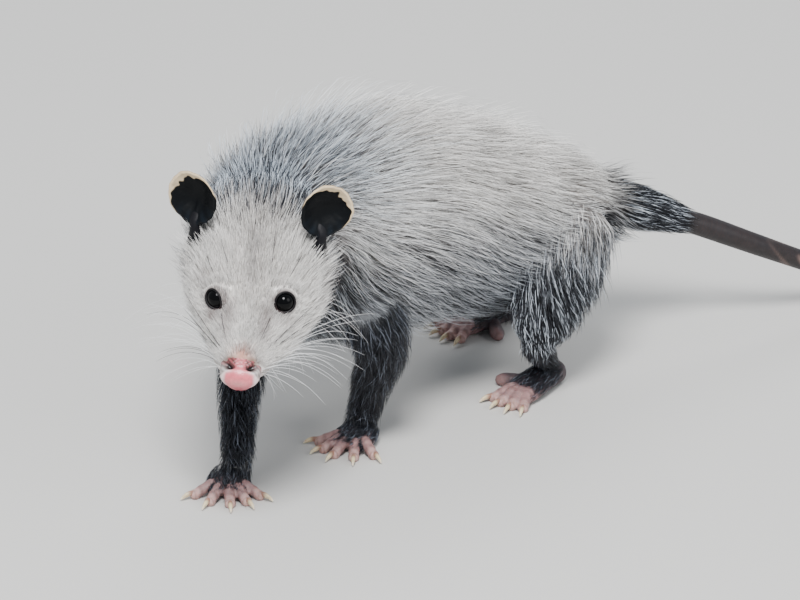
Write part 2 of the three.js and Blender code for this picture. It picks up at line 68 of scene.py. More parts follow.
def paint(red, green, blue):
    # a screen colour of 0 to 255 as linear light
    c = np.array([red, green, blue]) / 255
    return np.where(c < 0.04045, c / 12.92, ((c + 0.055) / 1.055) ** 2.4)


def washed(c, colours, layers):
    # named colours laid one over the other, each by its own share, which is kept from 0 to 1
    for name, share in layers:
        c = blend(c, colours[name], np.clip(share, 0, 1)[..., None])
    return c


def spline(points, t):
    # Catmull-Rom through the points, t from 0 to 1 in equal steps, and straight on past both ends
    padded = np.vstack([2 * points[0] - points[1], points, 2 * points[-1] - points[-2]])
    steps = len(points) - 1
    x = np.asarray(t, float) * steps
    inside = np.clip(x, 0, steps)
    i = np.minimum(inside.astype(int), steps - 1)
    f = (inside - i)[..., None]
    p0, p1, p2, p3 = (padded[i + k] for k in range(4))
    m1, m2 = (p2 - p0) / 2, (p3 - p1) / 2
    curve = p1 + m1 * f + (3 * (p2 - p1) - 2 * m1 - m2) * f**2 + (2 * (p1 - p2) + m1 + m2) * f**3
    return curve + (x - inside)[..., None] * np.where(f < 0.5, m1, m2)


leastSize = 0.02  # no run is thinner, in mm
shortStep = 1e-3  # the share of a run, or the turn in radians, over which directions are measured


def run(stations, upward=(0, 0, 1), fur=0):
    # stations are rows of x, y, z, half width, up, down and depth of fur, of which a share is taken off
    rows = np.array(stations, float)
    size = np.maximum(rows[:, 3:6] - fur * rows[:, 6:7], leastSize)
    return {"at": rows[:, :3], "size": size, "upward": np.array(upward, float)}


def runFrame(way, t):
    # the middle line, the way it heads over a short step, and the side and up that are square to that
    along = unit(spline(way["at"], t + shortStep) - spline(way["at"], t - shortStep))
    side = unit(np.cross(along, way["upward"]))
    return spline(way["at"], t), along, side, np.cross(side, along)


def onRun(way, t, a, grow=0):
    # middle line + side * cos(a) * half width + up * sin(a) * half height
    centre, _, side, up = runFrame(way, t)
    half = np.maximum(spline(way["size"], np.clip(t, 0, 1)), leastSize)
    rise = np.sin(a)
    height = np.where(rise > 0, half[..., 1], half[..., 2]) + grow
    width = half[..., 0] + grow
    return centre + side * (np.cos(a) * width)[..., None] + up * (rise * height)[..., None]


def betweenRuns(inner, outer):
    # the surface that lies on the inner run at lift 0 and on the outer one at lift 1
    def surface(t, a, lift=0.0):
        return blend(onRun(inner, t, a), onRun(outer, t, a), np.asarray(lift, float)[..., None])
    return surface


def lattice(along, columns):
    # every step along with every step of one turn round, as two grids
    return np.meshgrid(along, np.arange(columns) * 2 * np.pi / columns, indexing="ij")


def tubeGrid(way, rows, columns, fromT=0.0, toT=1.0):
    # the run's surface at even steps along it and round it
    return onRun(way, *lattice(np.linspace(fromT, toT, rows), columns))


def depthIn(points, way, grow=0):
    # each point's distance from the middle line over the half width there, and the nearest station
    t = np.linspace(0, 1, 48)
    centre, along, side, up = runFrame(way, t)
    half = spline(way["size"], t) + grow
    near = ((points[:, None] - centre[None]) ** 2).sum(2).argmin(1)
    v = points - centre[near]
    x = (v * side[near]).sum(1) / half[near, 0]
    y = (v * up[near]).sum(1)
    y = y / np.where(y > 0, half[near, 1], half[near, 2])
    step = np.linalg.norm(way["at"][-1] - way["at"][0]) / len(t)
    past = np.abs((v * along[near]).sum(1)) > 1.5 * step
    return np.where(past, 9, np.hypot(x, y)), near, centre


def pushOut(points, way, grow=0):
    # points inside a limb move out to its surface, straight from its middle line
    flat = points.reshape(-1, 3).copy()
    reach = way["size"].max() + grow
    near = ((flat > way["at"].min(0) - reach) & (flat < way["at"].max(0) + reach)).all(1)
    some = flat[near]
    depth, station, centre = depthIn(some, way, grow)
    scale = np.where(depth < 1, 1 / np.maximum(depth, 0.35), 1)[:, None]
    flat[near] = centre[station] + (some - centre[station]) * scale
    return flat.reshape(points.shape)


# Meshes. A shell is points, faces, a colour for each point and a slot number.


def gridShell(points, colour, slot=0, closedEnds=True):
    # rows of points round a tube, with quads between rows and a fan to one point at each end
    rows, columns = points.shape[:2]
    index = np.arange(rows * columns).reshape(rows, columns)
    following = np.roll(index, -1, axis=1)
    quads = np.stack([index[:-1], following[:-1], following[1:], index[1:]], -1).reshape(-1, 4)
    flat, shade = points.reshape(-1, 3), np.broadcast_to(colour, points.shape).reshape(-1, 3)
    faces = [quads]
    if closedEnds:
        for row, turned in ((0, True), (rows - 1, False)):
            pole = len(flat)
            flat = np.vstack([flat, points[row].mean(0)])
            shade = np.vstack([shade, shade[row * columns]])
            first, second = (following[row], index[row]) if turned else (index[row], following[row])
            faces.append(np.stack([first, second, np.full(columns, pole)], 1))
    return facingOut({"points": flat, "faces": faces, "colour": shade, "slot": slot})


def facingOut(shell):
    # the signed volume says which way the faces point
    volume = 0
    for faces in shell["faces"]:
        corners = shell["points"][faces]
        for k in range(1, faces.shape[1] - 1):
            volume += (corners[:, 0] * np.cross(corners[:, k], corners[:, k + 1])).sum()
    if volume < 0:
        shell["faces"] = [faces[:, ::-1] for faces in shell["faces"]]
    return shell


eye = {"back": 48.8, "skew": 1, "aside": 21.1, "high": 15, "radius": 6.4, "nearer": {1: 0, -1: 1.9}}
head = {"noseTip": np.array([51.0, -203.0, 107.0]), "yaw": 37, "pitch": 34, "roll": 4.5}


def headAxes():
    # the frame's axes turned by the yaw about z, then by the pitch about x, then by the roll about y
    yaw, pitch, roll = np.radians([head["yaw"], head["pitch"], head["roll"]])
    aboutZ = np.array([[np.cos(yaw), -np.sin(yaw), 0], [np.sin(yaw), np.cos(yaw), 0], [0, 0, 1]])
    aboutX = np.array([[1, 0, 0], [0, np.cos(pitch), -np.sin(pitch)],
                       [0, np.sin(pitch), np.cos(pitch)]])
    aboutY = np.array([[np.cos(roll), 0, np.sin(roll)], [0, 1, 0], [-np.sin(roll), 0, np.cos(roll)]])
    return (aboutZ @ aboutX @ aboutY).T


headLeft, headBack, headUp = headAxes()


def inHead(back, aside, high):
    # the tip of the nose + the head's own axes * how far back, to the animal's left and up
    back, aside, high = (np.asarray(v, float)[..., None] for v in (back, aside, high))
    return head["noseTip"] + headBack * back + headLeft * aside + headUp * high


def headPlace(p):
    # the same the other way round: how far back, aside and high in the head each point is
    local = p - head["noseTip"]
    return local @ headBack, local @ headLeft, local @ headUp


def headWay(back, aside, high):
    # the direction that has these shares of the head's axes
    return unit(headBack * back + headLeft * aside + headUp * high)


def eyePlace(side, moved=1):
    # the frame's place when moved is 0. The animal's right eye sits a little nearer the nose's line
    aside = side * (eye["aside"] - moved * eye["nearer"][side])
    return inHead(eye["back"] + side * eye["skew"], aside, eye["high"])


# The frame's eyes say where the animal's own millimetres lie in it.
eyeMiddles = [sum(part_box("eye_" + name), Vector()) / 2 * 1000 for name in ("left", "right")]
shift = np.mean([np.array(m) - eyePlace(side, 0) for m, side in zip(eyeMiddles, (1, -1))], axis=0)
shift[2] = 0
print("shift", shift.round(3))


def makeObject(name, shells, materials):
    # whole arrays of points and faces put into one mesh, with its colours in an attribute
    counts = [len(s["points"]) for s in shells]
    starts = np.concatenate([[0], np.cumsum(counts)[:-1]])
    points = np.vstack([s["points"] for s in shells])
    colour = np.vstack([s["colour"] for s in shells])
    loops, sizes, slots = [], [], []
    for shell, start in zip(shells, starts):
        for faces in shell["faces"]:
            loops.append((faces + start).ravel())
            sizes.append(np.full(len(faces), faces.shape[1]))
            slots.append(np.full(len(faces), shell["slot"]))
    loops, sizes, slots = (np.concatenate(v).astype(np.int32) for v in (loops, sizes, slots))
    mesh = bpy.data.meshes.new(name)
    mesh.vertices.add(len(points))
    mesh.vertices.foreach_set("co", ((points + shift) * 0.001).astype(np.float32).ravel())
    mesh.loops.add(len(loops))
    mesh.loops.foreach_set("vertex_index", loops)
    mesh.polygons.add(len(sizes))
    firsts = np.concatenate([[0], np.cumsum(sizes)[:-1]]).astype(np.int32)
    mesh.polygons.foreach_set("loop_start", firsts)
    mesh.polygons.foreach_set("material_index", slots)
    mesh.polygons.foreach_set("use_smooth", np.ones(len(sizes), bool))
    mesh.update(calc_edges=True)
    layer = mesh.color_attributes.new("paint", "FLOAT_COLOR", "POINT")
    opaque = np.column_stack([colour, np.ones(len(colour))]).astype(np.float32)
    layer.data.foreach_set("color", opaque.ravel())
    for material in materials:
        mesh.materials.append(material)
    piece = bpy.data.objects.new(name, mesh)
    bpy.context.scene.collection.objects.link(piece)
    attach(piece, "root")
    return piece


def readAll(items, attribute, kind, each=1):
    # one attribute of every item of a mesh as an array
    values = np.empty(len(items) * each, kind)
    items.foreach_get(attribute, values)
    return values


def fuse(shells, voxel, smoothing, colourAt, slot):
    # closed shells become one skin on a fine lattice, which is then smoothed
    points = np.vstack([s["points"] for s in shells])
    starts = np.concatenate([[0], np.cumsum([len(s["points"]) for s in shells])[:-1]])
    faces = [(f + start).tolist() for s, start in zip(shells, starts) for f in s["faces"]]
    mesh = bpy.data.meshes.new("rough")
    mesh.from_pydata((points * 0.001).tolist(), [], [f for group in faces for f in group])
    rough = bpy.data.objects.new("rough", mesh)
    bpy.context.scene.collection.objects.link(rough)
    remesh = rough.modifiers.new("Remesh", "REMESH")
    remesh.mode = "VOXEL"
    remesh.voxel_size = voxel * 0.001
    even = rough.modifiers.new("Smooth", "SMOOTH")
    even.factor = 0.5
    even.iterations = smoothing
    done = rough.evaluated_get(bpy.context.evaluated_depsgraph_get()).to_mesh()
    fused = readAll(done.vertices, "co", np.float32, 3).reshape(-1, 3).astype(float) * 1000
    corner = readAll(done.loops, "vertex_index", np.int32)
    total = readAll(done.polygons, "loop_total", np.int32)
    start = readAll(done.polygons, "loop_start", np.int32)
    groups = [corner[start[total == k][:, None] + np.arange(k)] for k in (4, 3)]
    bpy.data.objects.remove(rough)
    bpy.data.meshes.remove(mesh)
    groups = [g for g in groups if len(g)]
    return facingOut({"points": fused, "faces": groups, "colour": colourAt(fused), "slot": slot})


# Finishes. Each reads the colours in the mesh, varies them a little and gives its own gloss and grain.
usualFinish = {
    "specular": 0.5, "coat": 0, "coatRoughness": 0.1, "glow": 0, "glowDepth": 0.002,
    "mottle": 0.1, "mottleScale": 300, "cells": False, "bumpDepth": 0.0004,
}


def finish(name, look):
    # colour of the mesh * (1 - mottle to 1 + mottle by a soft noise), and a bump from noise or cells
    look = {**usualFinish, **look}
    material = bpy.data.materials.new(name)
    material.use_nodes = True
    nodes, links = material.node_tree.nodes, material.node_tree.links

    def setUp(node, values):
        # plain numbers on the node's own sockets
        for socket, value in values.items():
            node.inputs[socket].default_value = value
        return node

    shader = setUp(nodes["Principled BSDF"], {
        "Roughness": look["roughness"], "Specular IOR Level": look["specular"],
        "Coat Weight": look["coat"], "Coat Roughness": look["coatRoughness"],
        "Subsurface Weight": look["glow"], "Subsurface Scale": look["glowDepth"],
    })
    paintNode = nodes.new("ShaderNodeAttribute")
    paintNode.attribute_name = "paint"
    place = nodes.new("ShaderNodeTexCoord")
    mottle = setUp(nodes.new("ShaderNodeTexNoise"), {"Scale": look["mottleScale"], "Detail": 4})
    links.new(place.outputs["Object"], mottle.inputs["Vector"])
    spread = setUp(nodes.new("ShaderNodeMapRange"), {
        "From Min": 0.3, "From Max": 0.7, "To Min": 1 - look["mottle"], "To Max": 1 + look["mottle"],
    })
    links.new(mottle.outputs["Fac"], spread.inputs["Value"])
    tint = nodes.new("ShaderNodeVectorMath")
    tint.operation = "SCALE"
    links.new(paintNode.outputs["Color"], tint.inputs["Vector"])
    links.new(spread.outputs["Result"], tint.inputs["Scale"])
    links.new(tint.outputs["Vector"], shader.inputs["Base Color"])
    if "bump" in look:
        grain = nodes.new("ShaderNodeTexVoronoi" if look["cells"] else "ShaderNodeTexNoise")
        grain.inputs["Scale"].default_value = look["grain"]
        links.new(place.outputs["Object"], grain.inputs["Vector"])
        depth = {"Strength": look["bump"], "Distance": look["bumpDepth"]}
        bump = setUp(nodes.new("ShaderNodeBump"), depth)
        links.new(grain.outputs["Distance" if look["cells"] else "Fac"], bump.inputs["Height"])
        links.new(bump.outputs["Normal"], shader.inputs["Normal"])
    return material


finishLooks = {
    "coat": {"roughness": 0.44, "mottle": 0.12, "mottleScale": 120},
    "glossyFur": {"roughness": 0.36, "mottle": 0.2},
    "furredSkin": {"roughness": 0.8, "specular": 0.2, "mottle": 0.15, "bump": 0.6, "grain": 900,
                   "bumpDepth": 0.0005},
    "bareSkin": {"roughness": 0.5, "specular": 0.4, "mottle": 0.18, "glow": 0.15, "bump": 0.7,
                 "grain": 700, "cells": True, "bumpDepth": 0.0003},
    "tailSkin": {"roughness": 0.48, "specular": 0.4, "mottle": 0.2, "bump": 0.4, "grain": 1200,
                 "cells": True, "bumpDepth": 0.0002},
    "earSkin": {"roughness": 0.5, "specular": 0.14, "mottle": 0.12, "bump": 0.35, "grain": 500},
    "wetSkin": {"roughness": 0.32, "mottleScale": 500, "glow": 0.06, "coat": 0.3,
                "coatRoughness": 0.3, "bump": 0.35, "grain": 1500, "cells": True,
                "bumpDepth": 0.0002},
    "eye": {"roughness": 0.03, "specular": 0.14, "mottle": 0.2},
    "lidRim": {"roughness": 0.42, "specular": 0.25},
    "claw": {"roughness": 0.35, "mottle": 0.15, "glow": 0.1, "bump": 0.2, "grain": 900},
    "whisker": {"roughness": 0.35},
}
finishes = {name: finish(name, look) for name, look in finishLooks.items()}
print("finishes made")

# The body's stations: x, y, z, half width, up, down, depth of coat.
body = {
    "trunk": [
        [4, -140, 162, 26, 20, 26, 4], [-6, -126, 159, 46, 42, 43, 10], [-18, -104, 150, 60, 61, 55, 19],
        [-27, -76, 138, 68, 72, 68, 25], [-34, -36, 130, 72, 78, 81, 26], [-34, 8, 125, 74, 78, 82, 25],
        [-27, 52, 117, 73, 68, 77, 24], [-12, 96, 108, 66, 58, 68, 22], [4, 130, 104, 48, 41, 52, 18],
        [13, 152, 100, 26, 24, 27, 12],
    ],
    "tail": [
        [9, 143, 102, 18, 18, 18, 6], [18, 165, 97, 17, 17, 17, 6], [27, 183, 90, 14.6, 14.6, 14.6, 5],
        [35, 200, 82, 10.4, 10.4, 10.4, 3.5], [44, 218, 73, 7.4, 7.4, 7.4, 0],
        [62, 252, 54, 6.9, 6.9, 6.9, 0], [76, 290, 33, 6.2, 6.2, 6.2, 0],
        [84, 325, 15, 5.4, 5.4, 5.4, 0], [86, 358, 5.5, 4.7, 4.7, 4.7, 0],
        [82, 390, 3.3, 4, 4, 4, 0], [72, 416, 2.6, 3.2, 3.2, 3.2, 0], [60, 432, 1.6, 2.2, 2.2, 2.2, 0],
    ],
    "forelegRight": [
        [-62, -80, 120, 20, 24, 24, 5], [-60, -92, 94, 18, 20, 20, 5], [-49, -103, 68, 14, 15, 15, 4],
        [-28, -128, 42, 11, 11.5, 11.5, 3.5], [-10, -147, 22, 9.5, 9, 9, 2.5],
        [-5, -153, 13, 10.5, 8, 8, 2],
    ],
    "forelegLeft": [
        [14, -66, 116, 20, 24, 24, 5], [20, -58, 90, 18, 20, 20, 5], [21, -52, 66, 14, 15, 15, 4],
        [12, -51, 42, 11, 11.5, 11.5, 3.5], [5, -51, 22, 9.5, 9, 9, 2.5], [4, -53, 13, 10.5, 8, 8, 2],
    ],
    "thighLeft": [
        [12, 118, 112, 28, 32, 20, 4], [19, 103, 96, 38, 39, 22, 9], [30, 86, 75, 38, 33, 20, 13],
        [38, 73, 56, 30, 25, 18, 12], [42, 66, 44, 20, 16, 14, 6], [43, 63, 38, 11, 8, 8, 3],
    ],
    "thighRight": [
        [-36, 114, 112, 28, 20, 32, 4], [-46, 108, 96, 38, 22, 39, 9], [-55, 102, 75, 37, 20, 33, 13],
        [-60, 98, 57, 30, 18, 25, 12], [-63, 96, 45, 20, 14, 15, 6], [-63, 96, 39, 11, 8, 8, 3],
    ],
    "shankLeft": [
        [42, 60, 50, 12, 11, 11, 3], [39, 70, 36, 10, 11, 11, 3], [34, 82, 20, 8, 8.5, 8.5, 2],
        [33, 85, 12, 8.5, 8, 8, 2],
    ],
    "shankRight": [
        [-62, 96, 52, 12, 11, 11, 3], [-60, 112, 38, 10, 11, 11, 3], [-56, 130, 21, 8, 8.5, 8.5, 2],
        [-55, 133, 12, 8.5, 8, 8, 2],
    ],
}
# What counts as up across each run: the front of a leg, and the animal's left on a thigh.
upwards = {
    "trunk": (0, 0, 1), "tail": (0, 0, 1), "foreleg": (0, -1, 0), "thigh": (1, 0, 0), "shank": (0, -1, 0),
}


def bodyRuns(fur):
    # every station list as a run, less this share of its fur
    upOf = {part: upwards[part.replace("Left", "").replace("Right", "")] for part in body}
    return {part: run(stations, upOf[part], fur) for part, stations in body.items()}


skins, tips = bodyRuns(1), bodyRuns(0)
trunkSurface = betweenRuns(skins["trunk"], tips["trunk"])

# Colours of the coat. Under is the wool near the skin, guard the long hairs over it.
coatColours = {
    "nape": {"under": paint(30, 38, 52), "guard": paint(226, 239, 252), "dark": paint(12, 16, 26)},
    "back": {"under": paint(170, 162, 156), "guard": paint(252, 249, 245), "dark": paint(102, 96, 92)},
    "flank": {"under": paint(76, 76, 83), "guard": paint(248, 250, 253), "dark": paint(28, 29, 36)},
    "haunch": {"under": paint(24, 26, 31), "guard": paint(218, 226, 236), "dark": paint(15, 16, 20)},
    # black's guard colour is lighter and tinted blue as a painted sheen on the black hairs
    "black": {"under": paint(17, 18, 21), "guard": paint(37, 40, 49), "dark": paint(12, 12, 14)},
}


def coatZones(p, ragged=0.0):
    # each colour zone's share at a place, from how far back and how high on the body it is
    line = skins["trunk"]["at"]
    t = np.interp(p[..., 1], line[:, 1], np.linspace(0, 1, len(line)))
    centre, half = spline(tips["trunk"]["at"], t), spline(tips["trunk"]["size"], t)
    high = (p[..., 2] - centre[..., 2]) / half[..., 1] + 0.12 * ragged
    y = p[..., 1] + 7 * ragged
    nape = ease(-y, 24, 86) * ease(high, 0.2, 0.75)
    low = ease(-high, -0.42, 0.06)
    dark = ease(-high, -0.12, 0.34) * (0.35 + 0.65 * ease(y, -50, 40))
    dark = np.maximum(dark, ease(-high, 0.45, 0.8) * 0.85)
    # darker low at the front of the chest: partly the coat's own dark fur and partly painted shade under the
    # head
    dark = np.maximum(dark, ease(-high, -0.25, 0.2) * ease(-y, 72, 100) * 0.88)
    tailRoot = skins["tail"]["at"][0]
    away = np.hypot(p[..., 0] - tailRoot[0], p[..., 2] - tailRoot[2])
    tailEnd = ease(y, 128, 147) * (1 - ease(away, 24, 38))
    weights = np.stack([nape, (1 - low) * (1 - nape), low * (1 - nape), 0 * y, 0 * y], -1)
    weights = weights * (1 - dark[..., None])
    weights[..., 3] = dark
    weights = weights * (1 - tailEnd[..., None])
    weights[..., 4] = tailEnd
    return weights / weights.sum(-1, keepdims=True)


def zoneColour(weights, kind):
    # the zones' colours of one kind, each times how much of that zone there is
    return sum(weights[..., i:i + 1] * coatColours[zone][kind] for i, zone in enumerate(coatColours))


def zoneHair(weights, kind, s, low, high):
    # the wool's colour up to low along a hair, and the zones' guard or dark colour from high on
    return blend(zoneColour(weights, "under"), zoneColour(weights, kind), ease(s, low, high))


def chosen(these, colour, others):
    # the first colour for the hairs that are chosen, and the second for the others
    return np.where(these[:, None, None], colour, others)


# The skin of the head is a run from the nose back, with soft bumps on it and lids round the eyes.
skullRows = np.array([  # back, high, half width, up, down, aside, depth of fur
    [6.5, 0, 10, 6.4, 7, 0, 0.4], [10, 0, 13.6, 8.9, 8.4, 0, 0.6], [17, 0, 20.4, 11.5, 10, 0.4, 1.3],
    [28, 0, 27.8, 14.5, 12.5, 1, 2], [40, 0, 34, 18, 16, 1.3, 2.4], [54, 0, 40, 23, 22, 1, 3],
    [70, 0, 43.5, 28, 28, 1, 4.5], [86, 0, 43, 31, 31, 0.6, 6], [102, 0, 41.5, 32, 32, -0.3, 8],
    [117, 0, 37, 28, 30, 0, 10], [130, -2, 22, 16, 18, 0, 9],
])
bumps = [  # back, aside on both sides, high, width, height
    (55, 21, 25, 9, 0.9), (52, 32, 4, 10, 0.8), (38, 13, 15, 6, -0.8), (19, 16, -3, 7, 1.0),
    (28, 0, 14, 9, -0.5), (84, 15, 31, 15, 0.9), (88, 0, 31, 7, -0.9), (62, 36, -8, 14, 1.0),
]
# The lids' radius over the ball, the opening's half width and height, its shift inwards and its corner, then
# from full to skirt how the lids pass into the skin, and how deep the skin lies inside the opening.
lids = {
    "radius": 7.2, "wide": {1: 6.1, -1: 5.0}, "tall": 6.2, "inward": {1: 0.1, -1: 1.0}, "corner": 0.09,
    "full": 6.3, "steep": 6.5, "skirt": 12.5, "sunk": -1.5, "behind": -8,
}


def headRun(rows, side=1, fur=1):
    # rows like the skull's as a run in the head, mirrored at side -1
    stations = [[*inHead(r[0], side * r[5], r[1]), r[2], r[3], r[4], r[6]] for r in rows]
    return run(stations, headUp, fur)


skullSkin = headRun(skullRows)
skullSurface = betweenRuns(skullSkin, headRun(skullRows, fur=0))


def eyeFrame(side):
    # along the opening, across it and out of the eye, square to each other
    out = headWay(-0.55, side * 0.3, 0.78)
    along = headWay(1, side * 0.35, -0.1)
    along = unit(along - out * (along @ out))
    return along, unit(np.cross(out, along)), out


def inEye(points, side):
    # how far along, across and out of the eye each point is
    return [(points - eyePlace(side)) @ axis for axis in eyeFrame(side)]


def lidEdge(turned, side):
    # the edge of the opening between the lids: an ellipse with a corner towards the nose
    nasal = bell(np.abs((turned + np.pi) % (2 * np.pi) - np.pi), np.pi, 0.5)
    grown = 1 + lids["corner"] * nasal
    across = lids["wide"][side] * grown * np.sin(turned) - side * lids["inward"][side]
    return lids["tall"] * grown * np.cos(turned), across, nasal


def lidOpening(x, y, side):
    # distance from the opening's middle over the distance of its edge there, below 1 inside
    inward = side * lids["inward"][side]
    turned = np.arctan2((y + inward) / lids["wide"][side], x / lids["tall"])
    edgeX, edgeY, _ = lidEdge(turned, side)
    return np.hypot(x, y + inward) / np.hypot(edgeX, edgeY + inward)


def headSkin(t, a, lift=0):
    # the run's surface + the bumps, straight out from its middle line, and the lids round each eyeball
    p = skullSurface(t, a, lift)
    back, aside, high = headPlace(p)
    raised = sum(height * bell(back, b, w) * bell(np.abs(aside), s, w) * bell(high, h, w)
                 for b, s, h, w, height in bumps)
    p = p + unit(p - spline(skullSkin["at"], t)) * raised[..., None]
    for side in (1, -1):
        x, y, z = inEye(p, side)
        near = np.hypot(x, y)
        dome = np.sqrt(lids["radius"] ** 2 - np.minimum(near, lids["steep"]) ** 2)
        lidded = np.maximum(z, blend(z, dome, 1 - ease(near, lids["full"], lids["skirt"])))
        lidded = blend(lids["sunk"], lidded, ease(lidOpening(x, y, side), 0.94, 1.02))
        moved = p + eyeFrame(side)[2] * (lidded - z)[..., None]
        p = np.where(((near < lids["skirt"]) & (z > lids["behind"]))[..., None], moved, p)
    return p


# shade is painted shade for the rear edge of the cheek, where it meets the neck
faceColours = {
    "fur": paint(243, 239, 234), "warm": paint(228, 218, 210), "lid": paint(84, 70, 68),
    "streak": paint(116, 108, 107), "smudge": paint(166, 152, 148), "rust": paint(122, 74, 58),
    "bridge": paint(206, 150, 132), "brown": paint(116, 86, 72), "nape": paint(120, 122, 128),
    "chin": paint(205, 201, 198), "shade": paint(116, 106, 102),
}


def faceColour(p):
    # markings by their place in the head, and painted shade at the rear of the cheek, each with a share that
    # is a product of bells and eases
    back, aside, high = headPlace(p)
    wide = np.abs(aside)
    waves = np.sin(back * 0.55 + 1.3 * np.sin(aside * 0.8)) * np.sin(aside * 0.9 + 1)
    mottled = 0.6 + 0.4 * waves
    toEyes = [np.linalg.norm(p - eyePlace(side), axis=-1) for side in (1, -1)]
    return washed(np.broadcast_to(faceColours["fur"], p.shape), faceColours, [
        ("warm", 0.4 * bell(wide, 0, 17) * ease(back, 20, 60) * ease(high, 0, 12)),
        ("streak", 0.75 * mottled * bell(aside, 0, 3.6) * bell(back, 76, 15) * ease(high, 8, 18)),
        ("streak", 0.6 * mottled * ease(back, 94, 114) * ease(high, 4, 20) * bell(wide, 0, 30)),
        ("smudge", 0.8 * bell(wide, 12, 4.6) * bell(back, 40, 8) * ease(high, 3, 10)),
        ("smudge", 0.6 * bell(wide, 11.5, 3.6) * bell(back, 29, 8) * ease(high, 3, 8)),
        ("smudge", 0.5 * bell(aside, -29, 5) * bell(back, 62, 6) * ease(high, 5, 12)),
        ("smudge", 0.25 * bell(wide, 19, 4) * bell(back, 59, 4) * ease(high, 8, 14)),
        ("rust", 1.1 * bell(aside, -21.5, 2.6) * bell(back, 38.6, 2.3) * ease(high, 4, 8)),
        ("smudge", 0.5 * bell(aside, -22, 4.5) * bell(back, 37, 4) * ease(high, 3, 7)),
        ("smudge", 0.45 * bell(aside, 24, 5) * bell(back, 40, 4) * ease(high, 3, 7)),
        ("bridge", 0.95 * bell(aside, 0, 6.5) * ease(-back, -23, -14) * ease(high, 2, 6)),
        ("brown", 0.9 * bell(wide, 7, 5) * ease(-back, -16, -11) * ease(high, 2.0, 5.0)),
        # painted shade at the rear edge of the cheek
        ("shade", 0.85 * ease(wide, 34, 43) * bell(back, 78, 9) * ease(-high, -14, -1)),
        ("nape", 0.8 * ease(back, 114, 127)),
        *[("lid", 0.8 * ease(-far, -9.4, -7.7)) for far in toEyes],
    ])


jaw = [  # back, high, half width, up, down, aside, depth of fur
    [9, -7.8, 5, 2.2, 2.6, 0, 0.5], [17, -9.8, 10.5, 3.4, 4.4, 0, 0.8], [30, -12.6, 16, 4.4, 6, 0, 1],
    [44, -16, 21, 5.5, 7.5, 0, 1.2], [58, -19.5, 24.5, 6, 7.5, 0, 1.5], [70, -21.5, 19, 3, 4.5, 0, 1.5],
]
lips = {  # rows as for the jaw
    "upper": [[7, -6.5, 2.1, 2.3, 2.3, 7, 0], [16, -8.5, 2.5, 2.7, 2.7, 14, 0],
              [30, -11, 2.5, 2.9, 2.9, 21, 0], [44, -14, 2.1, 2.7, 2.7, 26.5, 0],
              [57, -18.5, 1.3, 1.8, 1.8, 30.5, 0]],
    "lower": [[11, -8.2, 1.4, 1.4, 1.4, 5, 0], [18, -10, 1.6, 1.6, 1.6, 10.5, 0],
              [30, -13, 1.6, 1.7, 1.7, 15.5, 0], [44, -16.5, 1.5, 1.7, 1.7, 20.5, 0],
              [58, -20.5, 1.1, 1.4, 1.4, 24, 0]],
    "colour": paint(120, 88, 84),
}


def headShells():
    # the skull's skin with rows by the 0.92th power of even steps, the jaw, and two lips on each side
    p = headSkin(*lattice(np.linspace(0, 1, 186) ** 0.92, 206))
    under = tubeGrid(headRun(jaw), 60, 48)
    chin = blend(faceColour(under), faceColours["chin"], 0.7)
    shells = [gridShell(p, faceColour(p)), gridShell(under, chin)]
    for side in (1, -1):
        for lip, share in (("upper", 0.35), ("lower", 0.8)):
            tube = tubeGrid(headRun(lips[lip], side), 60, 14)
            shells.append(gridShell(tube, blend(faceColour(tube), lips["colour"], share)))
    return shells


# The feet: palms and soles with toes, in plan angles from straight ahead round to the animal's left.
feet = {
    "toeRadius": 4.0, "press": 0.8, "voxel": 1.0, "smoothing": 3,
    "hand": {  # at is the middle of the palm
        "right": {"at": (-3, -162), "heading": 45, "spread": (58, 30, 4, -28, -62)},
        "left": {"at": (7, -61), "heading": 14, "spread": (-58, -30, -4, 28, 60)},
    },
    "sole": {  # at is the heel
        "left": {"at": (32, 90), "heading": 6, "spread": (-27, -9, 9, 26), "thumb": -78},
        "right": {"at": (-56, 138), "heading": -10, "spread": (27, 9, -9, -26), "thumb": 78},
    },
    "toeLength": {"hand": 18, "sole": 19},
    "skin": paint(150, 118, 116), "tips": paint(196, 160, 152), "back": paint(70, 58, 62),
    # crease is the colour of painted shade in the toes' creases
    "crease": paint(104, 76, 76),
}
clawLook = {
    "length": 7, "base": paint(150, 112, 96), "middle": paint(214, 196, 160), "tip": paint(232, 222, 200),
}
toeProfile = np.array([  # share of the length, height, share of the radius
    [-0.25, 7, 1], [0, 7.4, 0.95], [0.25, 7.2, 1], [0.42, 6.3, 0.84], [0.58, 5.2, 0.92], [0.74, 3.9, 0.8],
    [0.88, 3.1, 0.92], [1, 2.8, 0.55],
])
clawProfile = np.array([  # share of the length, height, half height
    [-0.35, 3.8, 1.5], [0, 3.9, 1.75], [0.3, 3.6, 1.6], [0.6, 2.9, 1.3], [0.85, 1.9, 0.85], [1, 1, 0.3],
])


def planWay(angle):
    # the direction on the floor at this angle from straight ahead
    return np.array([np.sin(np.radians(angle)), -np.cos(np.radians(angle)), 0])


def alongFloor(profile, root, way, start, length):
    # root + way * (start + share * length), at the profile's own heights
    at = root + (start + profile[:, :1] * length) * way
    at[:, 2] = profile[:, 1]
    return at


def toeRun(root, way, length):
    # the profile along the floor, arched at the knuckle, waisted between the joints and round at the tip
    fat = toeProfile[:, 2] * feet["toeRadius"]
    at = alongFloor(toeProfile, root, way, 0, length)
    return run(np.column_stack([at, fat, fat * 0.94, fat, 0 * fat]))


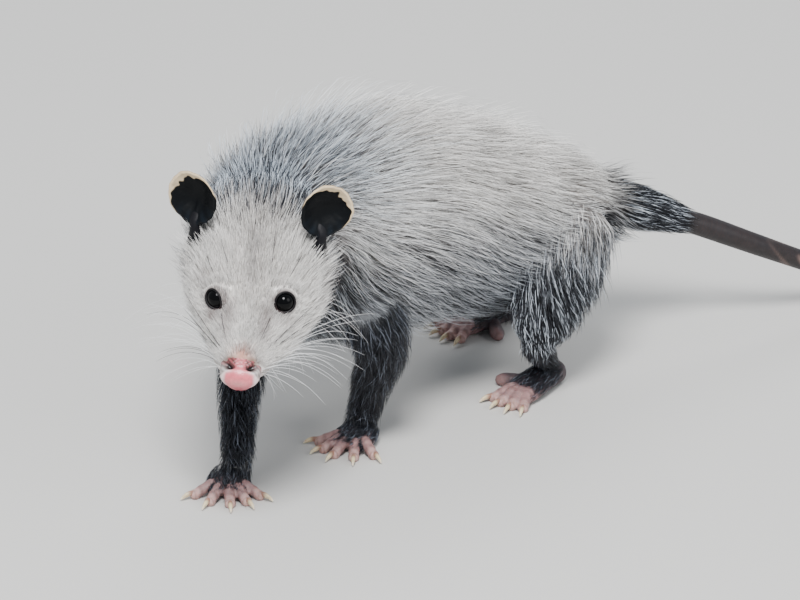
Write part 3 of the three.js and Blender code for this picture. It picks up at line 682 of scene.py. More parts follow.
def ellipsoidGrid(centre, axes, sizes, rows=24, columns=32):
    # centre + three axes * their half sizes * sin cos, sin sin and cos of the two angles
    polar, a = lattice(np.linspace(0.02, np.pi - 0.02, rows), columns)
    x, y, z = np.sin(polar) * np.cos(a), np.sin(polar) * np.sin(a), np.cos(polar)
    return centre + sum(s * v[..., None] * np.array(d) for s, v, d in zip(sizes, (x, y, z), axes))


def toesFrom(middle, out, plan):
    # each toe's root, so far out from the middle of the foot, and the way it points
    ways = [planWay(plan["heading"] + angle) for angle in plan["spread"]]
    return [(middle + out * way, way) for way in ways]


def handParts(side):
    # an ellipsoid for the palm, and five fingers spread from it
    plan = feet["hand"][side]
    middle = np.array([*plan["at"], 6.0])
    forward, across = planWay(plan["heading"]), planWay(plan["heading"] + 90)
    palm = ellipsoidGrid(middle, (across, forward, (0, 0, 1)), (13, 14, 7))
    return [palm], toesFrom(middle, 8, plan)


def soleParts(side):
    # a long sole from the heel, a clawless thumb that stands off inwards, and four toes
    plan = feet["sole"][side]
    forward, inward = planWay(plan["heading"]), planWay(plan["heading"] + plan["thumb"])

    def at(back, high, off=0):
        # the heel + forward * back + inward * off, at this height
        return np.array([*plan["at"], high]) + forward * back + off * inward

    sole = run([[*at(-9, 7), 4, 4, 4, 0], [*at(-5, 7.5), 8, 7.5, 7.5, 0], [*at(6, 8), 9.5, 8, 8, 0],
                [*at(22, 6.5), 12, 6.5, 6.5, 0], [*at(34, 5), 12, 5, 5, 0], [*at(38, 5), 8, 4, 4, 0]])
    thumb = run([[*at(12, 6), 5, 5, 5, 0], [*at(15, 5.5, 12), 4.4, 4.4, 4.4, 0],
                 [*at(17, 4.4, 22), 4.8, 4.6, 4.6, 0], [*at(18, 3.6, 27), 2.6, 2.6, 2.6, 0]])
    return [tubeGrid(sole, 40, 28), tubeGrid(thumb, 30, 20)], toesFrom(at(20, 6), 11, plan)


def footColour(p, toes, length, ankle):
    # dark by the ankle and over the foot, pink by the share along the nearest toe, with painted shade in
    # creases across it
    along = np.full(len(p), -9.0)
    nearest = np.full(len(p), 1e9)
    for root, way in toes:
        v = (p - root)[:, :2]
        share = v @ way[:2] / length
        off = np.linalg.norm(v - np.clip(share, 0, 1)[:, None] * length * way[:2], axis=1)
        along = np.where(off < nearest, share, along)
        nearest = np.minimum(off, nearest)
    # painted shade in bands across each toe, where it would fold
    crease = sum(bell(along, middle, 0.028) for middle in (0.3, 0.36, 0.62, 0.68, 0.9))
    return washed(np.broadcast_to(feet["back"], p.shape), feet, [
        ("skin", ease(along, -0.15, 0.35)), ("tips", 0.8 * ease(along, 0.5, 1.0)),
        ("crease", 0.55 * np.clip(crease, 0, 1)),
        ("back", 0.8 * bell(np.linalg.norm(p - ankle, axis=1), 0, 11)),
    ])


def footShell(grids, toes, length, ankle):
    # palm or sole and toes as one skin, lowered by the press and then kept over the floor
    grids = grids + [tubeGrid(toeRun(root, way, length), 30, 20) for root, way in toes]
    shells = [gridShell(g - [0, 0, feet["press"]], 0) for g in grids]
    foot = fuse(shells, feet["voxel"], feet["smoothing"],
                lambda p: footColour(p, toes, length, ankle), slot=2)
    foot["points"][:, 2] = np.maximum(foot["points"][:, 2], 0.02)
    return foot


def clawShells(toes, length):
    # a blunt-based cone carried along a curve that bends down to just over the floor
    shells = []
    t, a = lattice(np.linspace(0, 1, 36), 16)
    fat = clawProfile[:, 2]
    for root, way in toes:
        at = alongFloor(clawProfile, root, way, length, clawLook["length"])
        grid = onRun(run(np.column_stack([at, fat * 0.85, fat, fat, 0 * fat])), t, a)
        base = np.broadcast_to(clawLook["base"], grid.shape)
        colour = washed(base, clawLook, [("middle", ease(t, 0.2, 0.5)), ("tip", ease(t, 0.6, 1))])
        shells.append(gridShell(grid, colour))
    return shells


tailLook = {
    "ring": 2.0, "depth": 0.16, "scales": 22, "turnsPink": (0.50, 0.68),
    # groove is the colour of painted shade in the grooves
    "black": paint(34, 30, 32), "pink": paint(190, 156, 144), "groove": paint(84, 62, 58),
}


def tailShell():
    # the tail's run less a groove at every ring and between the scales, which shift by half each ring
    way = skins["tail"]
    t, a = lattice(np.linspace(0.06, 1, 490), 36)
    middle = spline(way["at"], t[:, 0])
    length = np.concatenate([[0], np.cumsum(np.linalg.norm(np.diff(middle, axis=0), axis=1))])
    ring = length / tailLook["ring"]
    across = (a / (2 * np.pi) * tailLook["scales"] + 0.5 * (np.floor(ring)[:, None] % 2)) % 1
    groove = np.maximum(bell((ring % 1)[:, None], 0, 0.16) + bell((ring % 1)[:, None], 1, 0.16),
                        0.7 * (bell(across, 0, 0.13) + bell(across, 1, 0.13)))
    naked = ease(t, 0.24, 0.32)
    p = onRun(way, t, a, -tailLook["depth"] * groove * naked)
    p[..., 2] = np.maximum(p[..., 2], 0.05)
    spots = np.sin(length[:, None] * 0.21 + 2.1 * np.sin(a * 2 + length[:, None] * 0.05)) * 0.06
    pink = ease(t + spots, *tailLook["turnsPink"])
    c = blend(tailLook["black"], tailLook["pink"], pink[..., None])
    # painted shade darkens the grooves between rings and scales
    c = blend(c, tailLook["groove"] * (0.3 + 0.7 * pink[..., None]), (groove * naked * 0.6)[..., None])
    return gridShell(p, c, slot=3)


def bodyColour(p):
    # the zones' dark colour with up to 0.22 of their guard colour higher up, and black down the legs
    weights = coatZones(p)
    lighter = 0.22 * ease(p[:, 2], 72, 95)[:, None]
    c = blend(zoneColour(weights, "dark"), zoneColour(weights, "guard"), lighter)
    return blend(c, coatColours["black"]["under"], ease(-p[:, 2], -62, -48)[:, None])


bodySkin = {"voxel": 3.2, "smoothing": 5}


def makeSkin():
    # trunk and limbs fused from their runs, with head, feet and tail set on as shells of their own
    rough = [gridShell(tubeGrid(skins["trunk"], 60, 64, 0.03), 0)]
    legs = [name for name in body if name not in ("trunk", "tail")]
    rough += [gridShell(tubeGrid(skins[name], 36, 32), 0) for name in legs]
    rough.append(gridShell(tubeGrid(skins["tail"], 30, 32, 0, 0.28), 0))
    trunk = fuse(rough, bodySkin["voxel"], bodySkin["smoothing"], bodyColour, slot=1)
    print("body skin", len(trunk["points"]))
    feetShells, claws = [], {}
    for side in ("right", "left"):
        for kind, leg, end in (("hand", "foreleg", "front_"), ("sole", "shank", "hind_")):
            grids, toes = handParts(side) if kind == "hand" else soleParts(side)
            ankle = skins[leg + side.title()]["at"][-1]
            feetShells.append(footShell(grids, toes, feet["toeLength"][kind], ankle))
            claws[end + side] = clawShells(toes, feet["toeLength"][kind])
    fabrics = [finishes[name] for name in ("furredSkin", "furredSkin", "bareSkin", "tailSkin")]
    skin = makeObject("skin", headShells() + [trunk, tailShell()] + feetShells, fabrics)
    flesh = ["head", "lower_jaw", "neck", "torso", "rump"] + ["tail_%d" % i for i in range(1, 5)]
    flesh += [part + "_" + side for part in ("foreleg", "thigh", "shank", "front_foot", "hind_foot")
              for side in ("left", "right")]
    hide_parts(*flesh)
    for foot, shells in claws.items():
        piece = makeObject("claws_" + foot, shells, [finishes["claw"]])
        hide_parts(*["claw_%s_%d" % (foot, i + 1) for i in range(len(shells))])


makeSkin()
print("skin and claws made")

# The eyes and the dark wet rims of their lids.
rimLook = {"radius": 0.75, "over": 7.0, "colour": paint(15, 12, 15), "corner": paint(70, 50, 50)}
# rim is a painted bluish reflection towards the edge of the ball
eyeLook = {"pupil": paint(2, 2, 3), "rim": paint(16, 20, 30), "pupilEdge": (0.38, 0.56)}


def makeEye(name, side):
    # a ball, and a thin tube carried round the edge of the lids, on a slightly larger ball
    along, across, out = eyeFrame(side)
    centre = eyePlace(side)
    ball = ellipsoidGrid(centre, (along, across, out), [eye["radius"]] * 3, 48, 64)
    # black in front, with a painted bluish reflection towards the ball's edge
    front = ease(unit(ball - centre) @ out, *eyeLook["pupilEdge"])[..., None]
    shade = blend(eyeLook["rim"], eyeLook["pupil"], front)
    piece = makeObject("eye_ball_" + name, [gridShell(ball, shade)], [finishes["eye"]])
    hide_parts("eye_" + name)
    turned, ring = lattice(np.arange(120) * np.pi / 60, 12)
    x, y, nasal = lidEdge(turned, side)
    z = np.sqrt(np.maximum(rimLook["over"] ** 2 - x**2 - y**2, 0.5))
    flat = x[..., None] * along + y[..., None] * across
    outwards = unit(flat)
    middle = centre + flat + z[..., None] * out
    r = rimLook["radius"] * (1 + 0.4 * nasal)[..., None]
    tube = middle + r * (np.cos(ring)[..., None] * out * 0.9 + np.sin(ring)[..., None] * outwards)
    corner = np.append(nasal, nasal[:1], 0)[..., None]
    shade = blend(rimLook["colour"], rimLook["corner"], corner * 0.5)
    loop = gridShell(np.vstack([tube, tube[:1]]), shade, closedEnds=False)
    makeObject("lid_rim_" + name, [loop], [finishes["lidRim"]])


makeEye("left", 1)
makeEye("right", -1)
print("eyes made")

# The bare nose: a run like a short snout, with a groove, two comma nostrils and a wrinkled bridge.
nose = {
    "rows": [[-4.5, -1, 0.5, 0.4, 0.4, 0, 0], [-4.2, -1, 4, 2.8, 3, 0, 0],
             [-3.2, -0.9, 7.6, 5.2, 5.6, 0, 0], [-1.2, -0.6, 10.8, 7.3, 7.8, 0, 0],
             [2.5, 0, 12.5, 8.8, 9, 0, 0], [8, 0, 12.7, 8.9, 7.8, 0, 0], [12, 0, 13.2, 8.6, 7.4, 0, 0]],
    "nostril": {"back": 5.6, "aside": 7.6, "turned": 48, "long": 3.4, "broad": 1.7},
    # how far each form stands out or goes in
    "pit": -3.0, "wingOut": 0.85, "innerOut": 0.5, "cleft": -0.75, "lobes": 0.45,
    "wrinkle": 0.28, "groove": -0.6, "pores": 0.05, "narrows": 0.36,
    # pale is partly a painted highlight on the top of the pad, and deep is the pad's redder lower skin with
    # painted shade
    "pink": paint(222, 106, 118), "deep": paint(146, 36, 50), "wing": paint(236, 226, 224),
    # hole is painted shade in the nostril pits
    "brown": paint(56, 38, 29), "hole": paint(24, 12, 12), "pale": paint(232, 158, 156),
}


def makeNose():
    # the run's surface + the sum of each form's height * its bells and eases over back, aside and high
    way = headRun(nose["rows"])
    t, a = lattice(np.linspace(0, 1, 140), 160)
    grid = onRun(way, t, a)
    back, aside, high = headPlace(grid)
    wide = np.abs(aside)
    # each nostril is a comma high on the pad, turned out and back, with a raised wing before it
    hole = nose["nostril"]
    turned = np.radians(hole["turned"])
    u = (back - hole["back"]) * np.cos(turned) + (wide - hole["aside"]) * np.sin(turned)
    v = (wide - hole["aside"]) * np.cos(turned) - (back - hole["back"]) * np.sin(turned)
    v = v + 0.09 * u**2
    upper = ease(high, 0.5, 3)
    pit = bell(u, 0, hole["long"]) * bell(v, 0, hole["broad"]) * upper
    wing = bell(u, 0, 4.0) * bell(v, 2.6, 1.6) * upper
    inner = bell(u, 0, 3.4) * bell(v, -2.4, 1.5) * upper
    edge = 8.9 + 0.16 * high - 0.03 * high**2  # where the pink pad gives way to its pale sides
    beside = ease(wide, edge - 1.2, edge + 1.2) * ease(high, -5.0, -1.5) * ease(-back, -7, -4)
    groove = bell(wide, edge - 0.6, 0.8) * ease(-back, -5, -1) * bell(high, 0, 4)
    cleft = bell(aside, 0, 0.9) * ease(-high, -3.5, 4)
    lobes = bell(wide, 5, 3.6) * bell(high, -1.5, 5) * ease(-back, -4, 0)
    folds = np.sin(back * 3.1 + 1.4 * np.sin(aside * 1.1)) * np.sin(aside * 1.3 + back)
    wrinkle = ease(high, 4.5, 7) * ease(back, 4.5, 8) * folds
    pores = np.sin(aside * 5.2 + np.sin(high * 3)) * np.sin(high * 5.6 + np.sin(aside * 2))
    forms = (("pit", pit), ("wingOut", wing), ("innerOut", inner), ("cleft", cleft), ("lobes", lobes),
             ("wrinkle", wrinkle), ("pores", pores), ("groove", groove))
    raised = sum(nose[name] * form for name, form in forms)[..., None]
    narrowed = (aside * nose["narrows"] * ease(-high, -3, 6.5))[..., None]  # downwards
    p = grid + unit(grid - spline(way["at"], t)) * raised - headLeft * narrowed
    around = ease(back + 0.34 * wide, 4.4, 6.0) * ease(high, 1.2, 3.4)
    around = around * (0.4 + 0.6 * ease(wide, 2, 4))
    colour = washed(np.broadcast_to(nose["pink"], p.shape), nose, [
        # a painted highlight pales the top of the pad, and deep is redder skin darkened by painted shade
        # towards the bottom
        ("pale", 0.7 * bell(high, 3.5, 2.6) * bell(aside, 0, 7)), ("deep", 0.9 * ease(-high, -2.5, 4.5)),
        ("wing", np.minimum(wing * 1.25, 0.92)), ("wing", 0.85 * beside),
        ("brown", 0.97 * around * (0.8 + 0.2 * np.sin(aside * 2.3 + back * 2))),
        ("pale", 0.5 * around * bell(aside, 0, 1.8)), ("wing", 0.45 * wing * around),
        # painted shade in the nostril pits
        ("hole", pit * 1.6 - 0.1),
    ])
    piece = makeObject("nose_pad", [gridShell(p, colour)], [finishes["wetSkin"]])
    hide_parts("nose")


makeNose()

# The ears: round bare cups on a stem, blue-black inside, with a pale rim that is notched inwards.
ear = {
    "back": 90, "aside": 38, "high": 16, "stem": 7, "width": 33, "height": 36, "depth": 9, "wall": 1.2,
    "pinch": 0.17, "fold": 1.5, "curl": 2.0, "rimWide": 0.30, "rimTop": 1.15,
    # of the stem: up, out, half width, half depth
    "stations": ((-5, -1.5, 7.0, 5.5), (0, -0.8, 5.0, 4.6), (4, 0, 3.6, 3.8), (7.5, 0, 3.4, 3.4),
                 (11, -1.6, 4.2, 2.8), (15, -3.6, 3.6, 1.4)),
    # sheen is the colour of a painted sheen inside the cup
    "inside": paint(4, 6, 9), "sheen": paint(16, 24, 32), "rim": paint(222, 200, 166),
    "edge": paint(178, 152, 120), "behind": paint(26, 28, 33), "stemColour": paint(20, 20, 24),
}


def earRoot(side):
    # where the ear's stem starts on the head
    return inHead(ear["back"], side * ear["aside"], ear["high"])


def makeEar(name, side):
    # a dish: middle + across * cos(a) * r + axis * sin(a) * r + facing * depth * r squared, in two walls
    axis = headWay(0.55, side * 0.1, 0.82)
    facing = headWay(-0.82, side * 0.38, 0.55)
    facing = unit(facing - axis * (facing @ axis))
    across = np.cross(axis, facing) * side  # away from the head's middle
    root = earRoot(side)
    middle = root + axis * (ear["stem"] + ear["height"] / 2)
    u, a = lattice(np.linspace(0.004, 2 - 0.004, 90), 150)
    r = np.sin(np.where(u <= 1, u, 2 - u) * np.pi / 2) ** 0.9  # rows gather towards the rim
    face = np.where(u <= 1, 1.0, -1.0)  # front of the dish, then its back
    low = np.maximum(0, -np.sin(a))
    pinch = 1 - ear["pinch"] * low**3
    ragged = 1 + sum(h * np.sin(a * k + at) for h, k, at in
                     ((0.012, 7, side), (0.008, 17, 1), (0.02, 3, 2 * side)))
    # folds: soft waves over the cup, a crumple near the stem and a curled lower outer edge
    x, y = np.cos(a) * r, np.sin(a) * r
    waves = 0.5 * np.sin(4.2 * x + 2.0 * y + side) + 0.35 * np.sin(7 * y - 3 * x)
    crumple = bell(x + 0.2 + 0.4 * y, 0, 0.14) * ease(-y, -0.1, 0.5) * (1 - r)
    folds = np.maximum(r * (1 - r) * 4, 0) * waves + ear["fold"] * crumple
    curl = 1.5 * ease(r, 0.86, 1.0) ** 2 + ear["curl"] * ease(r, 0.72, 1) * bell(a, 5.45, 0.42)
    edge = np.sqrt(np.maximum(1 - ease(r, 0.93, 1.0) ** 2, 0.0) + 0.02)
    thin = ear["wall"] * (1 - 0.55 * ease(r, 0.5, 1.0)) * edge / 2
    lie = ear["depth"] * (r**2 - 0.6) + folds - curl + face * thin
    p = middle + across * (np.cos(a) * ear["width"] / 2 * r * pinch * ragged)[..., None]
    p = p + axis * (np.sin(a) * ear["height"] / 2 * r * ragged)[..., None]
    p = p + facing * lie[..., None]
    # the pale rim is widest at the top and the outer side, and its inner edge is notched
    top = bell(np.mod(a - ear["rimTop"] + np.pi, 2 * np.pi) - np.pi, 0, 1.15)
    notch = sum(h * np.sin(a * k + at) for h, k, at in
                ((0.055, 5, 1.9), (0.045, 11, 0.6 + side), (0.03, 19, 0)))
    inward = 1.0 - ear["rimWide"] * top + notch * top
    pale = ease(r, inward - 0.012, inward + 0.012) * ease(top, 0.06, 0.12)
    # a painted bluish sheen, in streaks, on the lower outer part of the cup
    light = 0.75 * ease(r, 0.45, 0.95) * ease(low, 0.1, 0.9) * (0.6 + 0.4 * np.sin(a * 13 + r * 5))
    colour = washed(np.broadcast_to(ear["inside"], p.shape), ear, [
        ("sheen", light), ("behind", (face < 0) * 1.0), ("rim", pale),
        ("edge", 0.7 * pale * ease(r, 0.975, 1.0)),
    ])
    stem = run([[*(root + axis * up + facing * out), w, deep, deep, 0]
                for up, out, w, deep in ear["stations"]], facing)
    shells = [gridShell(p, colour), gridShell(tubeGrid(stem, 60, 36), ear["stemColour"])]
    piece = makeObject("ear_cup_" + name, shells, [finishes["earSkin"]])
    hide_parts("ear_" + name)


makeEar("left", 1)
makeEar("right", -1)
print("nose and ears made")

# Hair. Each hair is a closed spindle of three sides that is bent at its rings.
unwrapSize = 0.003  # of one hair on the unwrap
mostTriangles = 190000  # of one piece


def hairPieces(name, path, rng, look, colour, t, a, middle, material, stout=1):
    # Path is hairs x rows x 3, from under the skin to the tip. Each row between becomes a ring of three:
    # row + width * (cos * side + 0.6 * sin * up), with side and up square to the hair.
    count, rows = path.shape[:2]
    rings = rows - 2
    width = look["width"] * rng.uniform(look["thinnest"], 1.25, (count, 1)) * stout
    width = width * np.array([look["taper"]])
    tangent = unit(path[:, 2:] - path[:, :-2])
    side = unit(np.cross(tangent, unit(path[:, 1:-1] - middle)))
    up = np.cross(side, tangent)
    angles = np.radians([90, 210, 330])
    ringPoints = path[:, 1:-1, None] + width[..., None, None] * (
        np.cos(angles)[:, None] * side[:, :, None] + 0.6 * np.sin(angles)[:, None] * up[:, :, None])
    points = np.concatenate([path[:, :1], ringPoints.reshape(count, -1, 3), path[:, -1:]], 1)
    points[..., 2] = np.maximum(points[..., 2], 0.15)
    shade = np.concatenate([colour[:, :1], np.repeat(colour[:, 1:-1], 3, 1), colour[:, -1:]], 1)
    last = 3 * rings + 1
    faces = [(0, 1 + (k + 1) % 3, 1 + k) for k in range(3)]
    for ring in range(rings - 1):
        low, high = 1 + 3 * ring, 4 + 3 * ring
        for k in range(3):
            n = (k + 1) % 3
            faces += [(low + k, low + n, high + n), (low + k, high + n, high + k)]
    faces += [(last - 3 + k, last - 3 + (k + 1) % 3, last) for k in range(3)]
    faces = np.array(faces)
    # each hair is a small patch of the unwrap, at its root's own place
    rowShare = np.concatenate([[0], np.repeat(np.linspace(0.25, 0.75, rings), 3), [1]])
    corner = np.concatenate([[0], np.tile([-0.5, 0, 0.5], rings), [0]])
    patch = unwrapSize * np.column_stack([rowShare, corner])
    place = np.column_stack([np.clip(t, 0.01, 0.98), np.clip(a / (2 * np.pi), 0.01, 0.98)])
    most = mostTriangles // len(faces)
    for number, start in enumerate(range(0, count, most)):
        some = slice(start, start + most)
        n = len(points[some])
        every = (faces[None] + (np.arange(n) * (last + 1))[:, None, None]).reshape(-1, 3)
        shell = facingOut({"points": points[some].reshape(-1, 3), "faces": [every],
                           "colour": shade[some].reshape(-1, 3), "slot": 0})
        piece = makeObject("%s_%d" % (name, number + 1), [shell], [material])
        spots = (place[some, None] + patch[None]).reshape(-1, 2)
        layer = piece.data.uv_layers.new(name="OFBake")
        layer.data.foreach_set("uv", spots[shell["faces"][0].ravel()].astype(np.float32).ravel())
    print(name, count)


goldenSteps = (0.7548776662466927, 0.5698402909980532)  # such steps spread evenly over a square


def evenRoots(surface, look, rng, share):
    # a lattice of golden steps, thinned by the surface's stretch * the share there
    i = np.arange(look["count"] * 5)
    fromT, toT = look["span"]
    t = fromT + (toT - fromT) * ((0.5 + i * goldenSteps[0]) % 1)
    a = 2 * np.pi * ((i * goldenSteps[1]) % 1)
    p = surface(t, a)
    patch = np.cross(surface(t + shortStep, a) - p, surface(t, a + shortStep) - p)
    stretch = np.linalg.norm(patch, axis=-1)
    weight = stretch * share(t, a, p)
    keep = rng.random(len(t)) < weight * (look["count"] / weight.sum())
    return t[keep], a[keep]


def combed(surface, t, a, look, length, lift, sideways, pullT, pullA):
    # the surface at t + length * row, a + sideways * row and lift * (1 - (1 - row) to the power of bend)
    rows = np.array(look["rows"])
    root = surface(t, a)
    paceT = np.linalg.norm(surface(t + shortStep, a) - root, axis=-1) / shortStep
    paceA = np.linalg.norm(surface(t, a + shortStep) - root, axis=-1) / shortStep
    reach = (length / np.maximum(paceT, 20))[:, None] * rows + pullT[:, None] * rows**1.5
    drift = (sideways / np.maximum(paceA, 4))[:, None] * rows + pullA[:, None] * rows**1.5
    rise = lift[:, None] * (1 - (1 - rows) ** look["bend"]) - look["root"] * (1 - rows) ** 6
    return surface(t[:, None] + reach, a[:, None] + drift, rise)


def clumps(t, a, look, rng):
    # (the cell's own place - the hair's) * pull, so hairs of a cell lean together, and share a height
    cellT, cellA, pull, lean = look["clump"]
    table = rng.random((4096, 4)) * 2 - 1
    row = np.floor(t / cellT)
    wrap = max(round(2 * np.pi / cellA), 1)
    shifted = 0.5 * (row % 2)
    column = np.floor(a / cellA + shifted)
    own = table[(row * wrap + column % wrap).astype(int) % len(table)]
    middleT = (row + 0.5 + 0.3 * own[:, 0]) * cellT
    middleA = (column + 0.5 - shifted + 0.3 * own[:, 1]) * cellA
    return (middleT - t) * pull, (middleA - a) * pull + own[:, 2] * lean, own[:, 3]


# Rows are the rings' places along a hair, span where hair grows along the body, vary and shade the ranges
# of single hairs' lengths and brightness, thinnest the least share of the width, and a clump is its cell's
# length and turn, its pull and its lean.
coat = {
    "wool": {"count": 11500, "length": 30, "width": 0.36, "rows": (0, 0.35, 0.72, 1), "taper": (1, 0.7)},
    "guard": {"count": 43000, "length": 44, "width": 0.21, "rows": (0, 0.3, 0.66, 1), "taper": (1, 0.75)},
    "long": {"count": 4200, "length": 60, "width": 0.19, "rows": (0, 0.22, 0.5, 0.78, 1),
             "taper": (1, 0.9, 0.6)},
    "bend": 1.7, "root": 0.12, "span": (0.05, 0.97), "thinnest": 0.7, "vary": (0.7, 1.15),
    "shade": (0.84, 1.12), "clump": (0.022, 0.055, 0.8, 0.07), "seed": 4,
    "droop": 11, "wave": 1.5, "clear": 2.5,  # down the flanks, sideways, and off the legs
    "dark": (0.5, 0.08, 0.34, 0.5, 0.5),  # share of dark hairs in each zone of colour
    "bare": 0.34,  # how far up a hair the wool's colour reaches, except on the back
}





def trunkCoat():
    # three layers, combed back and down the flanks, waved, kept out of the legs and coloured by zone
    rng = np.random.default_rng(coat["seed"])
    line = skins["trunk"]["at"]
    legs = [skins[n] for n in ("thighLeft", "thighRight", "forelegLeft", "forelegRight")]

    def share(t, a, p):
        # none inside the head or a leg, and fewer under the belly
        buried = depthIn(p, skullSkin)[0] < 0.92
        for way in legs:
            buried |= depthIn(p, way)[0] < 0.9
        return np.where(buried, 0, 1) * (1 - 0.45 * ease(-np.sin(a), 0.6, 0.95))

    for layer in ("wool", "guard", "long"):
        look = {**coat, **coat[layer]}
        wool, far = layer == "wool", layer == "long"
        t, a = evenRoots(trunkSurface, look, rng, share)
        n, high = len(t), np.sin(a)
        nape = ease(-t, -0.44, -0.16) * ease(high, -0.1, 0.6)
        coarse = np.maximum(nape, ease(-high, -0.35, 0.15))
        length = look["length"] * rng.uniform(*look["vary"], n)
        length = length * (1 - 0.3 * ease(-high, 0.7, 1)) * (1 - 0.22 * nape)
        length = length * (1 - 0.35 * ease(t, 0.86, 1))
        lift = rng.uniform(0.3, 0.75, n) if wool else rng.uniform(0.5, 1.0, n)
        lift = lift + (0 if wool else 0.5) * nape * rng.random(n) ** 1.5
        if far:
            lift = 0.6 * rng.random(n) ** 1.6 * (0.4 + 0.6 * ease(high, -0.2, 0.5))
            lift = 0.85 + lift + 0.3 * nape
        pullT, pullA, own = clumps(t, a, look, rng)
        gather = 0.6 + 0.5 * coarse
        sideways = -np.cos(a) * look["droop"] * (1 - 0.5 * nape) + rng.normal(0, 2.6, n)
        path = combed(trunkSurface, t, a, look, length * (1 - 0.3 * nape), lift * (1 + 0.1 * own),
                      sideways, pullT * gather, pullA * gather)
        s = np.array(look["rows"])[None, :, None]
        phase = (own * 4 + rng.normal(0, 0.5, n))[:, None]
        wave = look["wave"] * s[..., 0] * np.sin(phase + 6.3 * s[..., 0])
        wave = wave * (0.4 + 0.6 * ease(-high, -0.5, 0.2))[:, None]
        outwards = unit(path[:, 0] - spline(line, t))
        tilted = np.cross(unit(path[:, -1] - path[:, 0]), outwards)
        path = path + wave[..., None] * tilted[:, None]
        path[:, 1:] += rng.normal(0, 0.35, (n, len(look["rows"]) - 1, 3)) * s[:, 1:]
        for way in legs:
            path[:, 1:] = pushOut(path[:, 1:], way, look["clear"] + 2 * rng.random())
        weights = coatZones(path[:, 0], rng.normal(0, 0.7, n))[:, None]
        if wool:
            colour = zoneColour(weights, "dark")
            colour = blend(colour, zoneColour(weights, "under"), ease(s, 0.1, 0.7))
        else:
            dark = (rng.random(n) < weights[:, 0] @ np.array(look["dark"])) & (not far)
            bare = look["bare"] * (weights[..., 0] + weights[..., 2] + weights[..., 3])[..., None]
            guard = zoneHair(weights, "guard", s, 0.1 + bare, 0.5 + bare)
            colour = chosen(dark, zoneHair(weights, "dark", s, 0.1, 0.6), guard)
        y, z = path[:, 0, 1], path[:, 0, 2]
        bands = 1 + 0.07 * np.sin(y * 0.09 + z * 0.05 + 1.2 * np.sin(z * 0.06))
        colour = colour * (bands * rng.uniform(*look["shade"], n))[:, None, None]
        middle = spline(line, np.interp(path[:, 1:-1, 1], line[:, 1], np.linspace(0, 1, len(line))))
        hairPieces("coat_" + layer, path, rng, look, colour, t, a, middle, finishes["coat"])


trunkCoat()

faceFur = {  # lengths are for the places in backs, counted from the nose
    "count": 27500, "width": 0.155, "rows": (0, 0.3, 0.68, 1), "taper": (1, 0.75), "thinnest": 0.8,
    "bend": 1.5, "root": 0.35, "span": (0, 0.97), "clump": (0.02, 0.1, 0.175, 0.015), "seed": 11,
    "vary": (0.7, 1.2), "shade": (0.82, 1.1),
    "eyeRoom": 7.4,  # hairs end this far from the middle of an eye
    "backs": (0, 15, 40, 60, 85, 100, 115, 130), "lengths": (2.4, 3.6, 6.5, 8.5, 11, 15, 23, 26),
}


